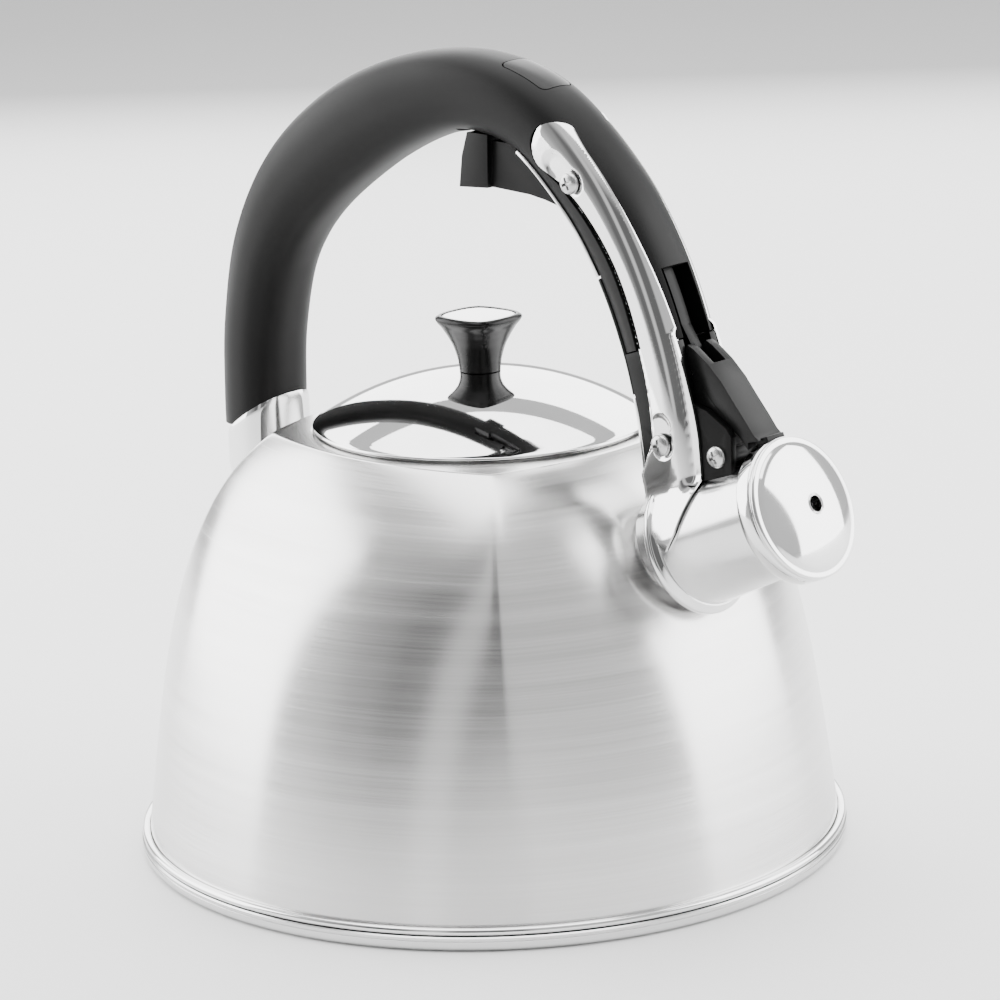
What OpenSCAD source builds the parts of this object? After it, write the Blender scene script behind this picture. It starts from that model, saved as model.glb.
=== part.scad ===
// Stovetop whistling kettle, rebuilt piece by piece.
// +Z is up, +X points to the spout, the origin is the centre of the flat base.

/* [Base and body] */
// Diameter of the base disc
base_d = 220; // [204:1:240]
// Height of the base disc
base_h = 4.6; // [4:0.1:7]
// Height of the body's top edge
body_h = 129.5; // [122:0.5:140]
// Wall of the body and its deck
wall = 1.2; // [0.8:0.1:1.6]
// Distance from the axis to the middle of a side of the top edge
top_side = 54.5; // [54:0.5:58]
// Distance from the axis to a corner of the top edge
top_corner = 64; // [61:0.5:70]

/* [Lid] */
// Diameter of the lid
lid_d = 103.6; // [98:0.2:106]
// Rise of the lid's dome
lid_rise = 15.2; // [10:0.2:18]
// Depth of the skirt that drops into the neck
skirt_h = 8; // [5:0.5:11]
// Height of the knob
knob_h = 17.2; // [14:0.2:20]
// Half width of the knob's top, over its corners
knob_top = 13.2; // [11:0.2:15]
// Half width of the knob's foot
knob_foot = 6.3; // [5:0.1:7]

/* [Spout] */
// Slope of the spout above the horizontal
spout_tilt = 22.9; // [18:0.1:26]
// Height of the spout's axis where it leaves the body
spout_z = 105.5; // [98:0.5:108]
// How far the collar's centre stands out from the body's wall
spout_out = 7.04; // [6:0.02:14]
// Length from the collar to the front of the cap
spout_l = 42.5; // [38:0.5:50]
// Radius of the spout at the collar
spout_root_r = 19.2; // [17:0.1:20]
// Radius of the spout at its mouth
spout_tip_r = 17; // [14:0.1:17.5]
// Wall of the spout
spout_wall = 1; // [0.8:0.1:1.4]
// Radius of the cap
cap_r = 21.2; // [20.8:0.1:23]
// Width of the cap's band
cap_band = 5.5; // [4:0.1:7]
// Height of the cap's dome
cap_dome = 5.5; // [3:0.1:7]
// Radius of the whistle's hole
whistle_r = 2.9; // [2:0.1:3.6]

/* [Handle] */
// Height of the handle's centre line at the top
grip_z = 232.5; // [226:0.5:246]
// How far the rear leg's centre line stands out from the body's wall at its foot
rear_out = 18.78; // [16:0.02:24]
// How far the front leg's centre line stands behind the collar's centre
front_back = 1; // [0:0.5:2]
// Height where both centre lines start
foot_z = 108; // [106:0.5:112]
// Thickness of the grip, seen from the side
grip_t = 23; // [20:0.5:26]
// Extra thickness of the swell behind the top
swell = 7.5; // [0:0.5:9]
// Width of the grip, seen from the front
grip_w = 26; // [25:0.5:28]
// Thickness of the steel side arms
arm_t = 1.2; // [1:0.1:1.6]
// Width of the channel that the mechanism runs in
channel_w = 12; // [11:0.5:13]

/* [Mechanism] */
// Radius of the lever's pivot pin
pivot_r = 1.55; // [1.2:0.05:1.8]
// Radius of the trigger's pivot pin
trigger_pin_r = 1.5; // [1.2:0.05:1.8]
// Running clearance of a pin in its bore, on the radius
run_fit = 0.05; // [0.02:0.01:0.09]
// Gap on each side of a moving lever
side_gap = 0.4; // [0.3:0.05:0.8]

/* [Hidden] */

STEEL = [0.80, 0.80, 0.79];
MIRROR = [0.88, 0.88, 0.88];
BLACK = [0.09, 0.09, 0.10];
DARK = [0.05, 0.05, 0.05];
RUBBER = [0.45, 0.45, 0.44];
eps = 0.01;

// ---- Curves -------------------------------------------------------------

// Linear blend and cubic Bezier
function mix(a, b, t) = a + (b - a) * t;
function bezier(p, t) =
    pow(1 - t, 3) * p[0] + 3 * t * pow(1 - t, 2) * p[1]
    + 3 * t * t * (1 - t) * p[2] + pow(t, 3) * p[3];
// Catmull-Rom through the points of a list, at position s along it
function spline(p, s) =
    let (n = len(p) - 1, i = max(0, min(n - 1, floor(s))), t = s - i,
         a = p[max(0, i - 1)], b = p[i], c = p[i + 1], d = p[min(n, i + 2)])
    0.5 * ((2 * b) + (c - a) * t + (2 * a - 5 * b + 4 * c - d) * t * t
        + (3 * b - a - 3 * c + d) * t * t * t);
// Rings of points to a closed solid: each ring turns left about the way the rings advance
module loft(rings) {
    m = len(rings);
    n = len(rings[0]);
    polyhedron(
        points = [for (r = rings) each r],
        faces = concat(
            [[for (i = [0:n - 1]) i]],
            [for (j = [0:m - 2], i = [0:n - 1])
                let (k = (i + 1) % n) each [
                    [j * n + i, (j + 1) * n + k, j * n + k],
                    [j * n + i, (j + 1) * n + i, (j + 1) * n + k]]],
            [[for (i = [n - 1:-1:0]) (m - 1) * n + i]]),
        convexity = 8);
}

// ---- Body ---------------------------------------------------------------

base_r = base_d / 2;
shell_r = base_r - 2.5;
shell_z = base_h + 1.1;
deck_z = body_h + 0.6;
neck_r = lid_d / 2 - 1.4;
// Side and corner profiles of the body, from the base up to the top edge
SIDE = [[shell_r, shell_z], [shell_r - 6.5, body_h * 0.40],
        [top_side + 37.5, body_h * 0.79], [top_side, body_h]];
CORNER = [[shell_r, shell_z], [shell_r - 6.5, body_h * 0.40],
          [top_corner + 33, body_h * 0.83], [top_corner, body_h]];
// Radius of the body's side at a height, found by halving the profile's range
function side_t(z, a = 0, b = 1, n = 40) =
    let (m = (a + b) / 2)
    n == 0 ? m : bezier(SIDE, m)[1] < z ? side_t(z, m, b, n - 1) : side_t(z, a, m, n - 1);
function side_r(z) = bezier(SIDE, side_t(z))[0];
// Radius of a plan whose four sides are arcs: mid at the sides, cor at the corners
function bulge(mid, cor) = (cor * cor - mid * mid) / max(1, 2 * mid - sqrt(2) * cor);
function plan_r(mid, cor, a) =
    let (d = bulge(mid, cor), f = abs(((a + 405) % 90) - 45))
    sqrt(pow(mid + d, 2) - pow(d * sin(f), 2)) - d * cos(f);
// One ring of the body at profile position t, moved in by inset, between two angles
function body_ring(t, inset, n, a0 = 0, a1 = 360) =
    let (s = bezier(SIDE, t), c = bezier(CORNER, t))
    [for (i = [0:n - 1])
        let (a = a0 + (a1 - a0) * i / (a1 - a0 == 360 ? n : n - 1),
             r = plan_r(s[0], c[0], a) - inset,
             w = c[0] - s[0] < 0.1 ? 0 : (plan_r(s[0], c[0], a) - s[0]) / (c[0] - s[0]),
             z = mix(s[1], c[1], w) - (t > 0 ? inset : 0))
        [r * cos(a), r * sin(a), z]];
BODY_STEPS = [0, 0.12, 0.25, 0.38, 0.5, 0.6, 0.7, 0.8, 0.88, 0.95, 1];
body_n = 80;
function flat_ring(r, z, n) = [for (i = [0:n - 1]) [r * cos(360 * i / n), r * sin(360 * i / n), z]];
// Solid wedge of the body's outer shape round the angle a, used to trim what lands on it
module body_wedge(a, n) {
    step = 360 / body_n;
    half = step * n / 2;
    rings = [for (t = BODY_STEPS)
        let (r = body_ring(t, 0, n + 1, a - half, a + half)) concat(r, [[0, 0, r[0][2]]])];
    loft(rings);
}

module body_shell() {
    outer = [for (t = BODY_STEPS) body_ring(t, 0, body_n)];
    inner = [for (i = [len(BODY_STEPS) - 1:-1:0]) body_ring(BODY_STEPS[i], wall, body_n)];
    rings = concat(outer, [flat_ring(neck_r, deck_z, body_n), flat_ring(neck_r, deck_z - wall, body_n)],
                   inner);
    m = len(rings);
    n = body_n;
    color(STEEL) difference() {
        polyhedron(
            points = [for (r = rings) each r],
            faces = [for (j = [0:m - 1], i = [0:n - 1])
                let (k = (i + 1) % n, u = (j + 1) % m) each [
                    [j * n + i, u * n + k, j * n + k],
                    [j * n + i, u * n + i, u * n + k]]],
            convexity = 10);
        on_spout() translate([0, 0, -30]) cylinder(r = spout_bore_r, h = 40, $fn = 64);
    }
}

module base_floor() {
    color(STEEL) translate([0, 0, base_h])
        cylinder(r = shell_r, h = shell_z - base_h, $fn = 128);
}

module base_core() {
    color([0.7, 0.7, 0.7]) translate([0, 0, 1])
        cylinder(r = base_r - 6, h = base_h - 1, $fn = 128);
}

module base_cap() {
    edge = 2.2;
    color(STEEL) rotate_extrude($fn = 128) difference() {
        union() {
            square([base_r - edge, base_h]);
            translate([base_r - edge, edge]) circle(edge, $fn = 40);
            translate([base_r - edge - eps, edge]) square([edge + eps, base_h - edge]);
        }
        translate([-1, 1]) square([base_r - 5, base_h]);
    }
}

module base_ring() {
    ring_h = 2.6;
    color(STEEL) rotate_extrude($fn = 128) {
        translate([shell_r + 0.1, base_h]) square([base_r - 1.2 - shell_r, ring_h]);
        translate([base_r - 1.3, base_h + ring_h / 2]) circle(1.15, $fn = 32);
    }
}

module neck_ring() {
    drop = 6;
    color(STEEL) rotate_extrude($fn = 128) {
        translate([neck_r - 1, deck_z - wall - drop]) square([0.95, drop + wall]);
        translate([neck_r - 1.5, deck_z - wall - drop]) square([1.45, 0.9]);
    }
}

// ---- Spout --------------------------------------------------------------

spout_x = side_r(spout_z) + spout_out;
spout_bore_r = spout_root_r - 2.6;
// Places its children with +Z along the spout, from the collar's centre
module on_spout() {
    translate([spout_x, 0, spout_z]) rotate([0, 90 - spout_tilt, 0]) children();
}
spout_dir = [cos(spout_tilt), 0, sin(spout_tilt)];
spout_up = [-sin(spout_tilt), 0, cos(spout_tilt)];
function spout_at(u, v) = [spout_x, 0, spout_z] + u * spout_dir + v * spout_up;
cap_u = spout_l;
mouth_u = spout_l - 4;
function tube_r(u) = mix(spout_root_r, spout_tip_r, (u - 2.5) / (mouth_u - 2.5));

module spout_tube() {
    root = 16;
    color(MIRROR) on_spout() rotate_extrude($fn = 96) polygon([
        [spout_bore_r - spout_wall, -root], [spout_bore_r - 0.05, -root],
        [spout_bore_r - 0.05, -0.6], [spout_root_r, -0.6], [spout_root_r, 2.5],
        [spout_tip_r, mouth_u - 1], [spout_tip_r - 0.3, mouth_u],
        [spout_tip_r - spout_wall, mouth_u], [spout_root_r - spout_wall, 2.5],
        [spout_bore_r - spout_wall, -0.6]]);
}

module spout_collar() {
    bead = 1.5;
    color(STEEL) difference() {
        on_spout() rotate_extrude($fn = 96) {
            translate([spout_root_r + bead * 0.45, 0.4]) circle(bead * 1.1, $fn = 32);
            translate([spout_root_r - 0.1, 2.2]) circle(bead * 0.7, $fn = 32);
            translate([spout_bore_r, -1.7]) square([spout_root_r + 1 - spout_bore_r, 1.1]);
        }
        on_spout() translate([0, 0, -0.6]) cylinder(r = spout_root_r, h = 4, $fn = 96);
        body_wedge(0, 16);
    }
}

// ---- Handle path --------------------------------------------------------

// Centre line of the handle, as shares of its reach and its rise, from the rear foot
HANDLE_CURVE = [[0, 0], [0, 0.16], [0.01, 0.35], [0.05, 0.56], [0.14, 0.74], [0.285, 0.89],
    [0.44, 0.98], [0.575, 1], [0.7, 0.948], [0.82, 0.8], [0.896, 0.65], [0.95, 0.482],
    [0.983, 0.313], [1, 0.137]];
rear_x = side_r(foot_z) + rear_out;
front_x = spout_x - front_back;
reach = rear_x + front_x;
rise = grip_z - foot_z;
PATH = [for (p = HANDLE_CURVE) [-rear_x + p[0] * reach, foot_z + p[1] * rise]];
function path_at(s) = spline(PATH, s);
function unit(v) = v / norm(v);
function path_dir(s) = unit(path_at(s + 0.02) - path_at(s - 0.02));
// Outward normal: away from the lid
function path_out(s) = let (d = path_dir(s)) [-d[1], d[0]];
function beside(s, off) = path_at(s) + path_out(s) * off;
function half_t(s) = grip_t / 2 + swell / 2 * exp(-pow((s - 4.6) / 1.6, 2));
// One ring of the grip: a rounded rectangle square to the centre line
function grip_ring(s, dt, dw, n) =
    let (c = path_at(s), o = path_out(s), q = 0.8)
    [for (i = [0:n - 1])
        let (a = 360 * i / n, x = cos(a), y = sin(a),
             u = (half_t(s) + dt) * sign(x) * pow(abs(x), q),
             v = -(grip_w / 2 + dw) * sign(y) * pow(abs(y), q))
        [c[0] + o[0] * u, v, c[1] + o[1] * u]];
module grip_sweep(s0, s1, m, dt = 0, dw = 0, n = 24) {
    loft([for (j = [0:m]) grip_ring(mix(s0, s1, j / m), dt, dw, n)]);
}
// Side outline between two offsets from the centre line
function strip(s0, s1, a, b, m) = concat(
    [for (j = [0:m]) beside(mix(s0, s1, j / m), a)],
    [for (j = [m:-1:0]) beside(mix(s0, s1, j / m), b)]);
// Extrudes a side outline across the handle, from y0 to y1
module across(y0, y1) {
    translate([0, y1, 0]) rotate([90, 0, 0]) linear_extrude(y1 - y0) children();
}

// ---- Rear foot ----------------------------------------------------------

// The grip ends on a slanted face; the boot carries on to the body's wall
cut_slope = 34;
cut_z = foot_z + 13;
boot_z = foot_z - 16;
// What lies below (side -1) or above (side 1) the slanted end of the grip
module rear_cut(side) {
    translate([-rear_x, 0, cut_z]) rotate([0, -cut_slope, 0]) translate([0, 0, side * 60])
        cube([120, 80, 120], center = true);
}

module rear_boot() {
    w = grip_w / 2 + 0.2;
    t = grip_t / 2 + 0.1;
    color(MIRROR) difference() {
        loft([for (k = [0:7])
            let (z = mix(boot_z, cut_z + 9, k / 7), low = max(0, 1 - k / 2.6),
                 shift = 10 * low * low, thin = 5 * low * low)
            [for (i = [0:27])
                let (a = 360 * i / 28, x = cos(a), y = sin(a))
                [-rear_x + 0.8 + shift + (t - thin) * sign(x) * pow(abs(x), 0.8),
                 (w - thin / 3) * sign(y) * pow(abs(y), 0.8), z]]]);
        rear_cut(1);
        translate([-rear_x, 0, boot_z + 10]) cylinder(r = grip_t / 2 - 2.6, h = 60, $fn = 48);
        translate([-rear_x, 0, boot_z - 20]) cylinder(r = screw_hole, h = 60, $fn = 32);
        translate([-rear_x, 0, boot_z - 20]) cylinder(r = screw_head_r + 0.1, h = 26, $fn = 32);
        body_wedge(180, 10);
    }
}

screw_hole = 2.1;
screw_r = 1.95;
screw_head_r = 3.6;
module rear_bracket() {
    plate = 2;
    color(STEEL) difference() {
        translate([-rear_x, 0, boot_z + 10.1]) cylinder(r = grip_t / 2 - 2.8, h = plate, $fn = 48);
        translate([-rear_x, 0, boot_z]) cylinder(r = screw_hole, h = 60, $fn = 32);
    }
}

module rear_screw() {
    head_z = boot_z + 12.1;
    color(STEEL) translate([-rear_x, 0, boot_z + 6]) {
        translate([0, 0, -1.9]) cylinder(r = screw_head_r, h = 1.9, $fn = 32);
        cylinder(r = screw_r, h = head_z - boot_z + 14, $fn = 32);
    }
}

// ---- Grip and front leg -------------------------------------------------

grip_start = 0.6;
grip_end = 11.15;
core_end = 12.9;
slot_top = 10.3;
half_w = grip_w / 2;
half_ch = channel_w / 2;
arm_in = half_w - arm_t - 0.1;
function spout_side(u, v) = [spout_at(u, v)[0], spout_at(u, v)[2]];
lever_pivot = spout_side(25.6, 21.6);
rod_pivot = lever_pivot + [-11.9, 22.7];
trigger_ref = beside(8.5, -9);
trigger_pivot = beside(8.5, -5.7);
screw_up = beside(8.87, 1);
leg_in = -7.6;
liner_t = 1.1;
screw_low = beside(12.4, 0.5);
arm_screw_r = 1.45;
// A round bar across the handle, at a point of the side view
module bar(p, r, y0, y1, n = 32) {
    translate([p[0], y1, p[1]]) rotate([90, 0, 0]) cylinder(r = r, h = y1 - y0, $fn = n);
}
// Both sides of something drawn on the -Y side
module both_sides() {
    children();
    mirror([0, 1, 0]) children();
}

// Offsets of a side arm's edges from the centre line, at even steps along it
ARM_OUTER = [11.2, 8.8, 8.7, 10.2, 11.4, 12.1, 12.6];
ARM_INNER = [-2.6, -0.5, 0.2, -0.7, -1.6, -1.8, -3.1];
arm_s0 = 8.75;
arm_s1 = 12.35;
function arm_edge(list, t, grow) =
    beside(mix(arm_s0, arm_s1, t), spline(list, t * (len(list) - 1)) + grow);
module arm_outline(grow = 0) {
    m = 24;
    middle = beside(8.5, 2);
    head_r = 8.2 + grow;
    out = path_out(8.5);
    turn = atan2(out[1], out[0]);
    polygon(concat(
        [for (k = [m:-1:0]) let (a = turn + 180 * k / m) middle + head_r * [cos(a), sin(a)]],
        [for (j = [0:m]) arm_edge(ARM_OUTER, j / m, grow)],
        arm_foot(grow),
        [for (j = [m:-1:0]) arm_edge(ARM_INNER, j / m, -grow)]));
}
// The arm's foot runs down the side of the spout and ends in a point next to the collar
function arm_foot(grow = 0) = [for (q = [
    [18.4, 17.4], [14.6, 11], [10, 4.5], [5.6 + grow, 0.4 - grow], [4.2 - grow, 2.2], [0.6, 9.6],
    [-2.4, 16.5 - grow], [-1.2, 24]])
    spout_side(q[0], q[1])];
wrap_gap = 0.04;
wrap_end = 24;
function pipe_r(u) = mix(spout_root_r, spout_tip_r, (u - 2.5) / (mouth_u - 3.5));
// Side arm on the -Y side: a flat plate whose foot wraps the side of the spout
module plain_arm() {
    side = 150;
    start = 3.4;
    overlap = wrap_gap + arm_t / 2;
    outer = wrap_gap + arm_t;
    collar_gap = spout_root_r + 3.3;
    intersection() {
        across(-spout_root_r - 4, -half_w + arm_t) arm_outline();
        union() {
            difference() {
                translate([0, -half_w, foot_z - 20]) cube([side, 2 * arm_t, side]);
                on_spout() rotate_extrude($fn = 96) polygon([
                    [0, -27], [collar_gap, -27], [collar_gap, start],
                    [pipe_r(start + 0.6) + overlap, start + 0.6],
                    [pipe_r(wrap_end + 2) + overlap, wrap_end + 2], [0, wrap_end + 2]]);
            }
            difference() {
                on_spout() rotate_extrude($fn = 96) polygon([
                    [pipe_r(start) + wrap_gap, start], [pipe_r(start) + outer, start],
                    [pipe_r(wrap_end) + outer, wrap_end], [pipe_r(wrap_end) + wrap_gap, wrap_end]]);
                translate([0, -half_w + arm_t / 2, 0]) cube([side, side, 2 * side]);
            }
        }
    }
}
module drilled_arm() {
    color(MIRROR) difference() {
        plain_arm();
        bar(screw_up, arm_screw_r + 0.1, -20, 0);
        bar(screw_low, arm_screw_r + 0.1, -20, 0);
    }
}
module arm_right() { drilled_arm(); }
module arm_left() { mirror([0, 1, 0]) drilled_arm(); }
module arm_screw(p) {
    head_r = 3.3;
    bar(p, head_r, -half_w - 1.5, -half_w);
    bar(p, arm_screw_r, -half_w, -half_ch - 0.7);
}
module upper_arm_screws() { color(STEEL) both_sides() arm_screw(screw_up); }
module lower_arm_screws() { color(STEEL) both_sides() arm_screw(screw_low); }

// Space for the rod and the lever inside the handle
module rod_channel() {
    across(-half_ch, half_ch) {
        polygon(strip(9, slot_top, -5.6, 8.8, 8));
        polygon(strip(slot_top, 11.3, -6.5, 22, 10));
        polygon(strip(11.2, 12.3, -6.5, 22, 10));
    }
}
// Space for the trigger's web and for its finger pad, up into the grip
pad_half = 7;
module trigger_slot() {
    p = trigger_ref;
    across(-half_ch, half_ch) polygon([for (q = [
        [-34, -30], [-34, 16], [-24, 16.4], [-10, 13], [0, 9.6], [7, 8.2], [13, 5.8], [26, 1.2],
        [30, -2], [27, -14], [8, -24]]) p + q]);
    across(-pad_half - 0.5, pad_half + 0.5) polygon([for (q = [
        [-35.8, -30], [-36.2, 7], [-33.5, 19.2], [-18.6, 18.6], [-20.4, -30]]) p + q]);
    translate([p[0] + spring_x, 0, p[1]]) cylinder(r = spring_r + 1, h = spring_top, $fn = 32);
}

module grip() {
    color(BLACK) difference() {
        grip_sweep(grip_start, grip_end, 42);
        rear_cut(-1);
        translate([-rear_x, 0, 0]) cylinder(r = screw_r + 0.02, h = boot_z + 36, $fn = 32);
        rod_channel();
        trigger_slot();
        both_sides() across(-half_w - 5, -half_w + arm_t + 0.1) arm_outline(0.4);
        both_sides() bar(screw_up, arm_screw_r + 0.02, -20, -half_ch + 1);
        bar(trigger_pivot, trigger_pin_r + 0.02, -half_ch - 4, half_ch + 4);
        both_sides() across(-half_w - 1, -half_ch - 0.5)
            polygon(strip(8.05, 9.3, -14, leg_in + 0.02, 16));
        across(-half_w - 1, half_w + 1) polygon(strip(9.3, 11.3, -14, leg_in + 0.02, 20));
        plug_space(0.25);
    }
}

// Inset plug in the top of the grip
plug_s = 7.67;
module plug_space(grow) {
    p = path_at(plug_s);
    d = path_dir(plug_s);
    translate([p[0], 0, p[1]]) rotate([0, -atan2(d[1], d[0]), 0]) translate([0, 0, 8.6 - grow])
        linear_extrude(8) offset(2.4) square([13.5 + 2 * grow, 8 + 2 * grow], center = true);
}
module grip_plug() {
    color(BLACK) intersection() {
        plug_space(0);
        grip_sweep(7, 8.5, 8);
    }
}

// Black core of the front leg, below the grip, with the two ears that hold the lever's pin
ear_y = half_ch + 2.4;
module leg_core() {
    p = lever_pivot;
    color(DARK) difference() {
        union() {
            across(-arm_in, arm_in) polygon(strip(grip_end + 0.02, core_end, leg_in, 10.4, 14));
            across(-arm_in, arm_in) polygon([
                beside(core_end, leg_in), beside(core_end, 10.4), spout_side(16, 10), spout_side(0, 10)]);
            across(-ear_y, ear_y) polygon([for (q = [
                [-16, 16], [-4, 13], [3.5, 8.6], [5.2, 6.2], [5.2, -4], [8, -12], [-12, -24]]) p + q]);
        }
        rod_channel();
        across(-half_ch, half_ch) polygon([for (q = [
            [-22, 24], [12, 30], [16, 0], [10, -5], [-14, -5], [-22, 4]]) p + q]);
        on_spout() translate([0, 0, -12]) cylinder(r = spout_root_r + 0.05, h = 15, $fn = 96);
        on_spout() rotate_extrude($fn = 96) polygon([
            [0, 2.4], [tube_r(2.4) + 0.05, 2.4], [tube_r(mouth_u) + 0.05, mouth_u], [0, mouth_u]]);
        on_spout() translate([0, 0, -30]) cylinder(r = spout_root_r + 4, h = 33.6, $fn = 96);
        bar(p, pivot_r + 0.01, -20, 20);
        both_sides() bar(screw_low, arm_screw_r + 0.02, -20, -half_ch - 0.6);
    }
}

// Steel liner and black cover on the leg's inner face, facing the lid
module liner_upper() {
    color(STEEL) {
        both_sides() across(-half_w + arm_t + 0.2, -half_ch - 0.7)
            polygon(strip(8.1, 9.3, leg_in - liner_t, leg_in, 10));
        across(-half_w + arm_t + 0.2, half_w - arm_t - 0.2)
            polygon(strip(9.3, 10.05, leg_in - liner_t, leg_in, 8));
    }
}
module liner_cover() {
    color(DARK) across(-half_w + arm_t + 0.6, half_w - arm_t - 0.6)
        polygon(strip(10.08, 11.75, leg_in - liner_t - 0.3, leg_in, 14));
}
module foot_bracket() {
    color(STEEL) difference() {
        across(-half_w + arm_t + 0.4, half_w - arm_t - 0.4)
            polygon(strip(11.78, 12.9, leg_in - liner_t - 0.2, leg_in - 0.03, 12));
        on_spout() translate([0, 0, -30]) cylinder(r = spout_root_r + 4.1, h = 33.7, $fn = 96);
        body_wedge(0, 16);
    }
}

// ---- Mechanism ----------------------------------------------------------

module pivot_pin() {
    color(STEEL) {
        bar(lever_pivot, 3.3, -ear_y - 1.8, -ear_y);
        bar(lever_pivot, pivot_r, -ear_y, ear_y);
        bar(lever_pivot, 2.6, ear_y, ear_y + 1.2);
    }
}
module trigger_pin() {
    color(STEEL) bar(trigger_pivot, trigger_pin_r, -half_ch - 4, half_ch + 4);
}

// Return spring between the grip and the trigger's web
spring_x = -14;
spring_r = 2.4;
spring_top = 17;
spring_foot = 7.5;
spring_wire = 0.35;
module trigger_spring() {
    turns = 4;
    steps = 12;
    length = spring_top - spring_foot - 0.8;
    color(STEEL) translate([trigger_ref[0] + spring_x, 0, trigger_ref[1] + spring_foot])
        loft([for (k = [0:turns * steps])
            let (a = k * 360 / steps, h = spring_wire + length * k / turns / steps)
            [for (i = [0:5]) let (r = spring_r + spring_wire * cos(60 * i))
                [r * cos(a), r * sin(a), h - spring_wire * sin(60 * i)]]]);
}

module trigger() {
    p = trigger_ref;
    web = half_ch - 1;
    color(BLACK) difference() {
        union() {
            across(-web, web) polygon([for (q = [
                [-30, 7.9], [-22, 8], [-8, 7.4], [0, 7], [6, 5.8], [12, 3.2], [24, -1.2],
                [14, -4]]) p + q]);
            across(-web, web) polygon(concat(
                [for (q = [[-30, 7.9], [-8, 6.5], [0, 5], [12, 3], [24, -1.2]]) p + q],
                [beside(9.2, 7.6), beside(9.24, 4.4), beside(9.3, 0)],
                [for (q = [[14, -9.4], [9.8, -11.2], [3.5, -9.3], [-2.5, -7.8], [-8.5, -6.8],
                           [-23.5, -5.9], [-30, -6.2]]) p + q]));
            across(-pad_half, pad_half) polygon([for (q = [
                [-34.9, -6.6], [-33.6, 3], [-31.2, 10.2], [-23, 10], [-23.4, -6]]) p + q]);
        }
        bar(trigger_pivot, trigger_pin_r + run_fit, -20, 20);
    }
}

// Push rod, pinned to the lever; its upper end stands under the trigger's front end
rod_half = 2;
rod_fork = 2.65;
module push_rod() {
    color(BLACK) difference() {
        union() {
            across(-rod_half, rod_half) polygon(strip(9.36, 11.2, 5, 8, 14));
            across(-rod_half, rod_half) polygon([beside(11.0, 5), beside(11.0, 8),
                rod_pivot + [2.3, 0], rod_pivot + [-2.3, 0]]);
            bar(rod_pivot, 2.4, -rod_half, rod_half);
        }
        bar(rod_pivot, 1 + run_fit, -20, 20);
    }
}
module rod_pin() {
    y = half_ch - side_gap;
    color(STEEL) bar(rod_pivot, 1, -y, y);
}

// Curved lever that carries the cap
module spout_lever() {
    p = lever_pivot;
    y = half_ch - side_gap;
    tip = spout_side(cap_u - 4.6, cap_r);
    color(BLACK) difference() {
        union() {
            across(-y, y) polygon(concat(
                [for (q = [[-14.4, 28.7], [-12.6, 30.8], [-10.4, 29.7], [-5.1, 25.9], [-0.3, 21.3],
                           [3.6, 16.5], [8.1, 11.2], [11.1, 7.4]]) p + q],
                [tip + [1.6, 1.4], tip + [-2.4, 0.4]],
                [for (q = [[9.4, 2.4], [6.3, 5.8], [2.6, 8.4], [3.4, 3], [-3.4, -1], [-13, 13]]) p + q]));
            bar(p, 3.3, -y, y);
        }
        bar(p, pivot_r + run_fit, -20, 20);
        bar(rod_pivot, 1.01, -20, 20);
        across(-rod_fork, rod_fork) polygon([for (q = [
            [-3.4, -3.2], [3.4, -3.2], [7.4, 4.8], [7.4, 16], [-5.4, 16]]) rod_pivot + q]);
        on_spout() translate([0, 0, cap_u - 10]) cylinder(r = cap_r + 0.02, h = 20, $fn = 96);
        clip_block(0.01);
    }
}

// ---- Cap and whistle ----------------------------------------------------

cap_t = 0.9;
module cap_shell() {
    steps = 8;
    face_r = cap_r - 2.6;
    function dome(r) = 1.9 + cap_dome * (1 - pow(r / face_r, 2)) * 0.7;
    color(MIRROR) difference() {
        on_spout() translate([0, 0, cap_u]) rotate_extrude($fn = 96) difference() {
            polygon(concat(
                [[0, -cap_band], [0, dome(0)]],
                [for (k = [1:steps]) let (r = face_r * k / steps) [r, dome(r)]],
                [[cap_r - 1.2, 1.2], [cap_r - 0.4, 0.6], [cap_r, 0], [cap_r, -cap_band]]));
            polygon(concat(
                [[-1, -cap_band - 1], [-1, dome(0) - cap_t]],
                [for (k = [0:steps]) let (r = (face_r - cap_t) * k / steps) [r, dome(r) - cap_t]],
                [[cap_r - cap_t - 0.3, 0.2], [cap_r - cap_t, -0.6], [cap_r - cap_t, -cap_band - 1]]));
        }
        on_spout() translate([0, 0, cap_u - 3]) cylinder(r = whistle_r, h = 20, $fn = 48);
    }
}
plate_z = -3.5;
module whistle_tube() {
    color(STEEL) on_spout() translate([0, 0, cap_u]) rotate_extrude($fn = 48)
        translate([whistle_r - 0.6, plate_z + 0.8]) square([0.58, 5.1 - plate_z]);
}
module whistle_plate() {
    color(STEEL) on_spout() translate([0, 0, cap_u + plate_z]) difference() {
        cylinder(r = cap_r - cap_t - 0.02, h = 0.8, $fn = 96);
        translate([0, 0, -1]) cylinder(r = 1.2, h = 4, $fn = 32);
    }
}
module cap_seal() {
    color(RUBBER) on_spout() translate([0, 0, mouth_u + 0.3]) rotate_extrude($fn = 96)
        translate([spout_tip_r - 2.6, 0]) square([4.2, cap_u + plate_z - mouth_u - 0.3]);
}
module clip_block(grow) {
    on_spout() translate([-cap_r - 1.3 - grow, -4 - grow, cap_u - cap_band + 0.3 - grow])
        cube([2.6, 8 + 2 * grow, cap_band - 1 + 2 * grow]);
}
module lever_clip() {
    color(DARK) difference() {
        clip_block(0);
        on_spout() translate([0, 0, cap_u - 10]) cylinder(r = cap_r + 0.01, h = 20, $fn = 96);
    }
}

// ---- Lid ----------------------------------------------------------------

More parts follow.
